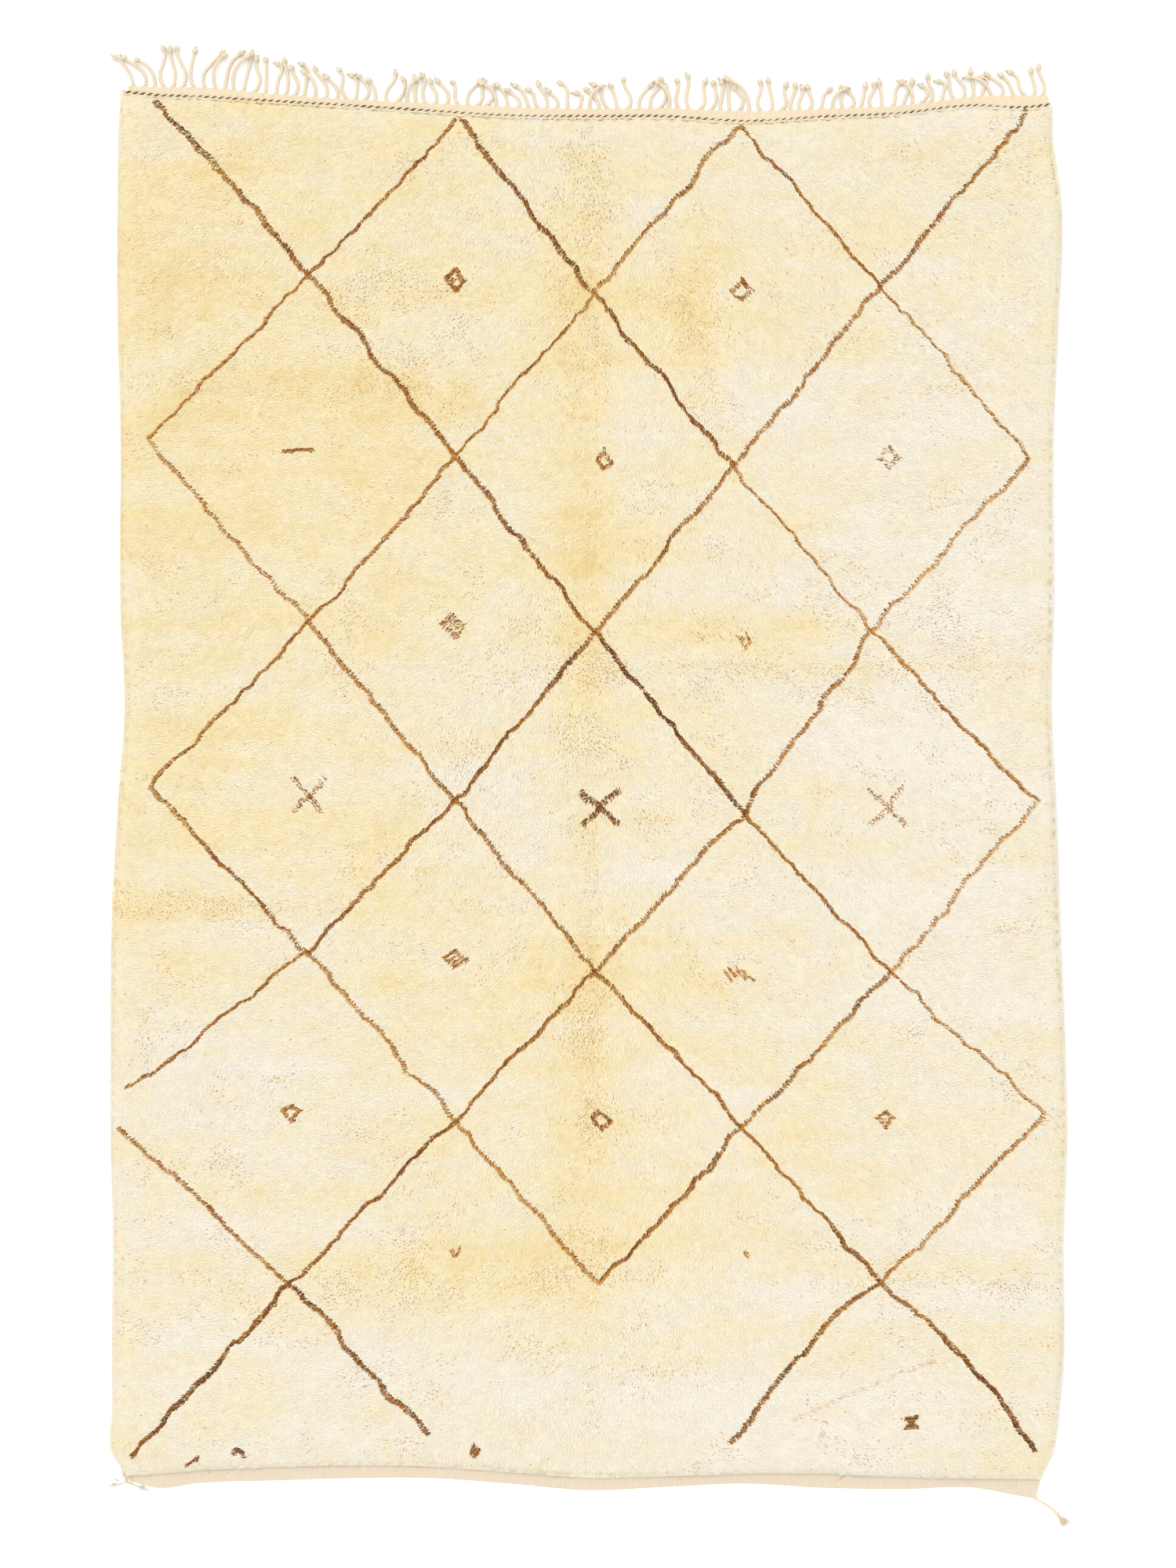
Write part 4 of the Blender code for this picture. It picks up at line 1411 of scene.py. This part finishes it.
def woven_strip(shape, x_low, x_high, low, high, thickness, rows):
    """Fills a bmesh with a strip of plain weave between two lines across the rug.

    x_low and x_high are its two sides, each at the low line and at the high one. Gives the points
    of its upper edge, from left to right.
    """
    across = int(round((x_high[0] - x_low[0]) / YARN_STEP))
    bmesh.ops.create_grid(shape, x_segments=across, y_segments=rows, size=0.5)
    co = np.array([v.co for v in shape.verts])
    i = np.rint((co[:, 0] + 0.5) * across).astype(int)
    j = np.rint((co[:, 1] + 0.5) * rows).astype(int)
    up = j / rows
    x = mix(mix(*x_low, up), mix(*x_high, up), i / across)
    y = mix(low(x), high(x), up)
    inner = (i > 0) & (i < across) & (j > 0) & (j < rows)
    z = thickness + np.where(inner, YARN_RELIEF * np.where((i + j) % 2, 1.0, -1.0), 0.0)
    for vert, *place in zip(shape.verts, x, y, z):
        vert.co = place
    shape.verts.ensure_lookup_table()
    top = [shape.verts[k] for k in np.flatnonzero(j == rows)]
    return sorted(top, key=lambda vert: vert.co.x)


def close_below(shape):
    """Walls down to the floor from the open edge of a sheet, and a flat face under it."""
    rim = [edge for edge in shape.edges if edge.is_boundary]
    wall = bmesh.ops.extrude_edge_only(shape, edges=rim)["geom"]
    for vert in (v for v in wall if isinstance(v, bmesh.types.BMVert)):
        vert.co.z = 0.0
    foot = [e for e in wall if isinstance(e, bmesh.types.BMEdge) and e.is_boundary]
    bmesh.ops.contextual_create(shape, geom=foot)
    bmesh.ops.triangulate(shape, faces=[face for face in shape.faces if len(face.verts) > 4])
    bmesh.ops.recalc_face_normals(shape, faces=shape.faces)


def finished(shape, name):
    mesh = bpy.data.meshes.new(name)
    shape.to_mesh(mesh)
    shape.free()
    mesh.shade_smooth()
    mesh.set_sharp_from_angle(angle=math.radians(50))
    return mesh


def build_ground():
    """One sheet: woven where it shows at the lower end, plain under the pile."""
    shape = bmesh.new()
    top = woven_strip(
        shape,
        KILIM_LEFT,
        KILIM_RIGHT,
        lambda x: end_line("kilim_edge", x),
        lambda x: end_line("pile_foot", x) + UNDER_PILE,
        GROUND_THICKNESS,
        KILIM_ROWS,
    )
    places = upper_places()[::-1]
    shares = np.linspace(0, 1, OUTLINE_STEPS + 1)[1:-1]
    outline = []
    for y in mix(top[-1].co.y, float(upper_edge(places[0])), shares):
        outline.append((side_line("right", y) - SIDE_INSET, y))
    outline += [(x, upper_edge(x)) for x in places]
    for y in mix(float(upper_edge(places[-1])), top[0].co.y, shares):
        outline.append((side_line("left", y) + SIDE_INSET, y))
    rest = [shape.verts.new((x, y, GROUND_THICKNESS)) for x, y in outline]
    shape.faces.new(top + rest)
    close_below(shape)
    finish = weave_finish("ground_weave_wool", (228, 213, 191), (209, 193, 167), GROUND_MARKS)
    ground = add_piece("woven_ground", finished(shape, "woven_ground"), finish)
    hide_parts("ground_weave")
    return ground


def build_edge_cord():
    """A thin twisted cord along the lower edge."""
    x = np.linspace(EDGE_CORD_START, EDGE_CORD_END, 200)
    line = level_line(x, end_line("kilim_edge", x) - EDGE_CORD_OUT, EDGE_CORD_HEIGHT)
    line, along = spaced(line, EDGE_CORD_PITCH / 5)
    shape = Shape()
    for ply, square in zip(ply_lines(line, along, EDGE_CORD_PITCH, EDGE_CORD_RADIUS * 0.5), cells(2)):
        add_tube(shape, ply, EDGE_CORD_RADIUS * 0.62, 4, square)
    finish = yarn_finish("edge_cord_wool", (234, 220, 194), (216, 198, 164), 0.6)
    return add_piece("edge_cord", shape.mesh("edge_cord"), finish)


# ---------------------------------------------------------------- the upper end


def build_row():
    """A brown and a cream ply, twisted round each other along the top of the pile."""
    x = np.linspace(ROW_START, ROW_END, 240)
    line = level_line(x, end_line("twined_row", x), GROUND_THICKNESS + ROW_RISE)
    line, along = spaced(line, ROW_PITCH / ROW_STEPS)
    pieces = []
    for number, (name, look) in enumerate(zip(ROW_PLIES, named(ROW_COLUMNS, ROW_PLIES.values()))):
        ply = list(ply_lines(line, along, -ROW_PITCH, look["out"]))[number]
        uneven = 1 + look["wander"] * clouds(ply[:, 0], ply[:, 1], ROW_CLOUDS)
        shape = Shape()
        add_tube(shape, ply, look["radius"] * np.clip(uneven, 0.2, 1.25), 6, next(cells(1)))
        finish = yarn_finish(f"{name}_wool", look["pale"], look["deep"], 0.4)
        pieces.append(add_piece(name, shape.mesh(name), finish))
    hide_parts("twined_row")
    return pieces


def cord_root(number):
    """Where a cord leaves the band: evenly spaced, but for a little wandering."""
    share = number / (len(CORD_LAYS) - 1)
    x = mix(CORD_FIRST, CORD_LAST, share) + CORD_WANDER * math.sin(CORD_WANDER_STEP * number)
    return x, float(end_line("fringe_root", x))


def cord_route(number):
    """The cord's line from root to tip, as rows of x and y, before its neighbour holds it off."""
    x, y = cord_root(number)
    wander = 1 + LENGTH_WANDER * math.sin(LENGTH_WANDER_STEP * number)
    length = float(end_line("cord_length", x)) * wander * CORD_STRETCH
    middle, tip = np.array(LAYS[CORD_LAYS[number]])
    shares = CORD_SHARES[:, None]
    bend = 4 * shares * (1 - shares)
    sway = CORD_SWAY * math.sin(CORD_SWAY_STEP * number) * np.sin(2 * math.pi * shares)
    return np.array((x, y)) + length * (shares * tip + bend * (middle - tip / 2) + sway * (1, 0))


def held_off(route, neighbour):
    """The route leaning away from its left neighbour, so that no point is nearer than the spacing."""
    least = np.interp(route[:, 1], neighbour[:, 1], neighbour[:, 0]) + CORD_SPACING
    push = np.maximum(least - route[:, 0], 0.0)
    spread = np.minimum(CORD_SHARES[:, None] / CORD_SHARES, 1.0)
    return route + np.column_stack(((spread * push).max(axis=1), np.zeros(len(route))))


def crossing_route(number):
    """The line of a cord that lies across its neighbours."""
    shares = CORD_SHARES[:, None]
    tip = np.array(CROSSING_CORDS[number])
    bow = np.array((-tip[1], tip[0])) * CROSSING_BOW * np.sign(tip[0])
    return np.array(cord_root(number)) + shares * tip + 4 * shares * (1 - shares) * bow


def cord_routes():
    """All the cords' lines, from left to right, with each point's height over the floor's cords."""
    routes = []
    neighbour = None
    for number in range(len(CORD_LAYS)):
        if number in CROSSING_CORDS:
            route = crossing_route(number)
            rise = CROSSING_RISE * ease(CORD_SHARES * 2)
        else:
            route = cord_route(number)
            if neighbour is not None:
                route = held_off(route, neighbour)
            neighbour = route
            rise = np.zeros(len(route))
        routes.append(np.column_stack((route, rise)))
    return routes


def add_fray(shape, place, heading, length, strands, spread, radius, squares, rng):
    """Loose hairs that fan out from a cord's end and settle on the floor."""
    for number in range(strands):
        turn = spread * (2 * (number + 0.5) / strands - 1) + rng.normal(0, spread / 5)
        way = turned(heading[None, :2], np.array([turn]))[0]
        sway = np.array((-way[1], way[0])) * rng.normal(0, 0.10)
        reach = length * rng.uniform(0.7, 1.1)
        shares = np.linspace(0, 1, len(HAIR_RADII))[:, None]
        flat = place[:2] + reach * (shares * way + shares**2 * sway)
        start = place[2] + rng.normal(0, radius / 2)
        end = radius * rng.uniform(0.25, 1.3)
        height = mix(start, end, ease(shares[:, 0]))
        line = np.column_stack((flat, np.maximum(height, radius * 0.3)))
        add_tube(shape, line, radius * HAIR_RADII, 3, next(squares))


def add_cord(shape, line, along, radius, pitch, swell, squares):
    """A two-ply cord whose radius is swollen by a share at each point."""
    for ply, square in zip(ply_lines(line, along, pitch, radius * PLY_OUT, swell), squares):
        add_tube(shape, ply, radius * PLY_RADIUS * swell, 6, square)


def build_fringe():
    """Twisted two-ply cords, each with a knot and a short frayed end, and the band they leave."""
    rng = np.random.default_rng(SEEDS["fringe"])
    shape = Shape()
    routes = cord_routes()
    squares = cells((2 + FRAY_STRANDS) * len(routes))
    for number, route in enumerate(routes):
        x, y = cord_root(number)
        route = np.vstack([(x, y + ahead, 0.0) for ahead in ROOT_PLACES] + [route])
        line, along = spaced(route, CORD_PITCH / 6)
        knot = mix(along[0], along[-1], KNOT_SHARE)
        kept = along <= knot + KNOT_LENGTH
        line, along = line[kept], along[kept]
        from_knot = (along - knot) / KNOT_LENGTH
        bulge = KNOT_SWELL * np.exp(-(from_knot**2) * KNOT_STEEPNESS)
        swell = mix(ROOT_SHARE, 1.0, ease((along - along[0]) / ROOT_RISE)) + bulge
        wound = along + KNOT_TURNS * CORD_PITCH * ease(from_knot * 0.5 + 0.5)
        line[:, 2] = line[:, 2] + CORD_RADIUS * (PLY_OUT + PLY_RADIUS) * swell + FLOOR_GAP
        add_cord(shape, line, wound, CORD_RADIUS, CORD_PITCH, swell, squares)
        heading = unit(line[-1] - line[-3])
        length = FRAY_LENGTH * (1 + FRAY_WANDER * math.sin(FRAY_WANDER_STEP * number))
        add_fray(shape, line[-1], heading, length, FRAY_STRANDS, FRAY_SPREAD, CORD_RADIUS, squares, rng)
    finish = yarn_finish("fringe_wool", (232, 218, 194), (220, 203, 173), 0.3)
    fringe = add_piece("fringe_cords", shape.mesh("fringe_cords"), finish)
    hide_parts("top_fringe")
    return [fringe, build_band()]


def build_band():
    """The plain band beyond the row, drawn up to a point at each cord."""
    roots = np.array([cord_root(number)[0] for number in range(len(CORD_LAYS))])
    low = roots[0] - CORD_RADIUS - BAND_MARGIN
    high = roots[-1] + CORD_RADIUS + BAND_MARGIN

    def back(x):
        return upper_edge(x) + BAND_GAP

    def front(x):
        away = np.abs(x[:, None] - roots[None, :]).min(1)
        return end_line("fringe_root", x) + BAND_PEAK * np.exp(-away / BAND_PEAK_REACH) - BAND_INSET

    shape = bmesh.new()
    woven_strip(shape, (low, low), (high, high), back, front, BAND_THICKNESS, BAND_ROWS)
    close_below(shape)
    finish = weave_finish("band_wool", (233, 218, 190), (220, 202, 168))
    return add_piece("plain_band", finished(shape, "plain_band"), finish)


# ---------------------------------------------------------------- the two corner ends


def build_tail():
    """The loose cord at the lower right: a twisted cord, a small knot and a frayed tassel."""
    rng = np.random.default_rng(SEEDS["tail"])
    cos, sin = math.cos(TAIL_TURN), math.sin(TAIL_TURN)
    spin = np.array(((cos, -sin), (sin, cos)))
    flat = np.array(TAIL_PLACE) + np.array(TAIL_LINE) @ spin.T
    line, along = spaced(level_line(*flat.T, TAIL_RADIUS + FLOOR_GAP), TAIL_PITCH / 6)
    swell = 1 + TAIL_KNOT_SWELL * np.exp(-((along / TAIL_KNOT_LENGTH) ** 2))
    line[:, 2] = line[:, 2] * swell
    shape = Shape()
    squares = cells(2 + TASSEL_STRANDS)
    add_cord(shape, line, along, TAIL_RADIUS, TAIL_PITCH, swell, squares)
    heading = np.array((-sin, cos, 0.0))
    place = line[0] + heading * TASSEL_ROOT
    add_fray(shape, place, heading, TASSEL_LENGTH, TASSEL_STRANDS, TASSEL_SPREAD, TAIL_RADIUS, squares, rng)
    finish = yarn_finish("tail_wool", (246, 234, 206), (212, 192, 150), 0.3)
    tail = add_piece("corner_tail_cord", shape.mesh("corner_tail_cord"), finish)
    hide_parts("corner_tail")
    return tail


def loop_line():
    """The looped knot's line, with the share of its thickness at each point."""
    rows = list(LOOP_IN)
    for step in range(LOOP_STEPS + 1):
        share = step / LOOP_STEPS
        angle = LOOP_START + share * LOOP_TURN
        x = LOOP_CENTRE[0] + LOOP_RADIUS * math.cos(angle)
        y = LOOP_CENTRE[1] + LOOP_RADIUS * math.sin(angle)
        rows.append((x, y, LOOP_RISE * share, 1.0))
    return np.array(rows + list(LOOP_OUT))


def build_knot():
    """The looped knot at the lower left, with a few loose hairs."""
    rng = np.random.default_rng(SEEDS["knot"])
    rows, along = spaced(loop_line(), LOOP_STEP)
    line = rows[:, :3] + np.array((0.0, 0.0, LOOP_CORD_RADIUS))
    shape = Shape()
    squares = cells(2 + LOOP_FRAY_STRANDS * len(LOOP_FRAY))
    add_cord(shape, line, along, LOOP_CORD_RADIUS, LOOP_PITCH, np.clip(rows[:, 3], 0.3, 1.0), squares)
    fray = (LOOP_FRAY_LENGTH, LOOP_FRAY_STRANDS, LOOP_FRAY_SPREAD, LOOP_FRAY_RADIUS)
    for x, y, turn in LOOP_FRAY:
        heading = np.array((math.cos(math.radians(turn)), math.sin(math.radians(turn)), 0.0))
        add_fray(shape, np.array((x, y, LOOP_FRAY_HEIGHT)), heading, *fray, squares, rng)
    finish = yarn_finish("knot_wool", (232, 218, 190), (214, 196, 162), 0.4)
    knot = add_piece("corner_knot_cord", shape.mesh("corner_knot_cord"), finish)
    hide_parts("corner_knot")
    return knot


# ---------------------------------------------------------------- the studio


def build_camera(scene):
    """A camera straight above the rug."""
    camera = bpy.data.cameras.new("camera")
    camera.lens = LENS
    camera.sensor_width = SENSOR
    camera.clip_end = 100.0
    eye = bpy.data.objects.new("camera", camera)
    eye.location = (*VIEW_CENTRE, VIEW_HEIGHT + VIEW_LENGTH * LENS / SENSOR)
    scene.collection.objects.link(eye)
    scene.camera = eye


def build_light(scene):
    """An even white world and a wide soft sun."""
    world = bpy.data.worlds.new("studio")
    world.use_nodes = True
    background = world.node_tree.nodes["Background"]
    background.inputs["Color"].default_value = (1.0, 1.0, 1.0, 1.0)
    background.inputs["Strength"].default_value = WORLD_LIGHT
    scene.world = world
    sun = bpy.data.lights.new("soft_sun", "SUN")
    sun.energy = SUN_LIGHT
    sun.angle = SUN_SOFTNESS
    lamp = bpy.data.objects.new("soft_sun", sun)
    lamp.rotation_euler = SUN_TILT
    scene.collection.objects.link(lamp)


def build_floor(scene):
    shape = bmesh.new()
    bmesh.ops.create_grid(shape, x_segments=8, y_segments=8, size=FLOOR_SIDE / 2)
    mesh = bpy.data.meshes.new("floor")
    shape.to_mesh(mesh)
    shape.free()
    mesh.materials.append(floor_finish())
    floor = bpy.data.objects.new("floor", mesh)
    floor.location.z = -FLOOR_GAP
    scene.collection.objects.link(floor)


def main():
    scene = bpy.context.scene
    scene.view_settings.view_transform = "Standard"
    build_camera(scene)
    build_light(scene)
    build_floor(scene)
    ground = build_ground()
    on_ground = build_pile()
    on_ground += build_row()
    on_ground += build_fringe()
    on_ground += [build_edge_cord(), build_tail(), build_knot()]


main()
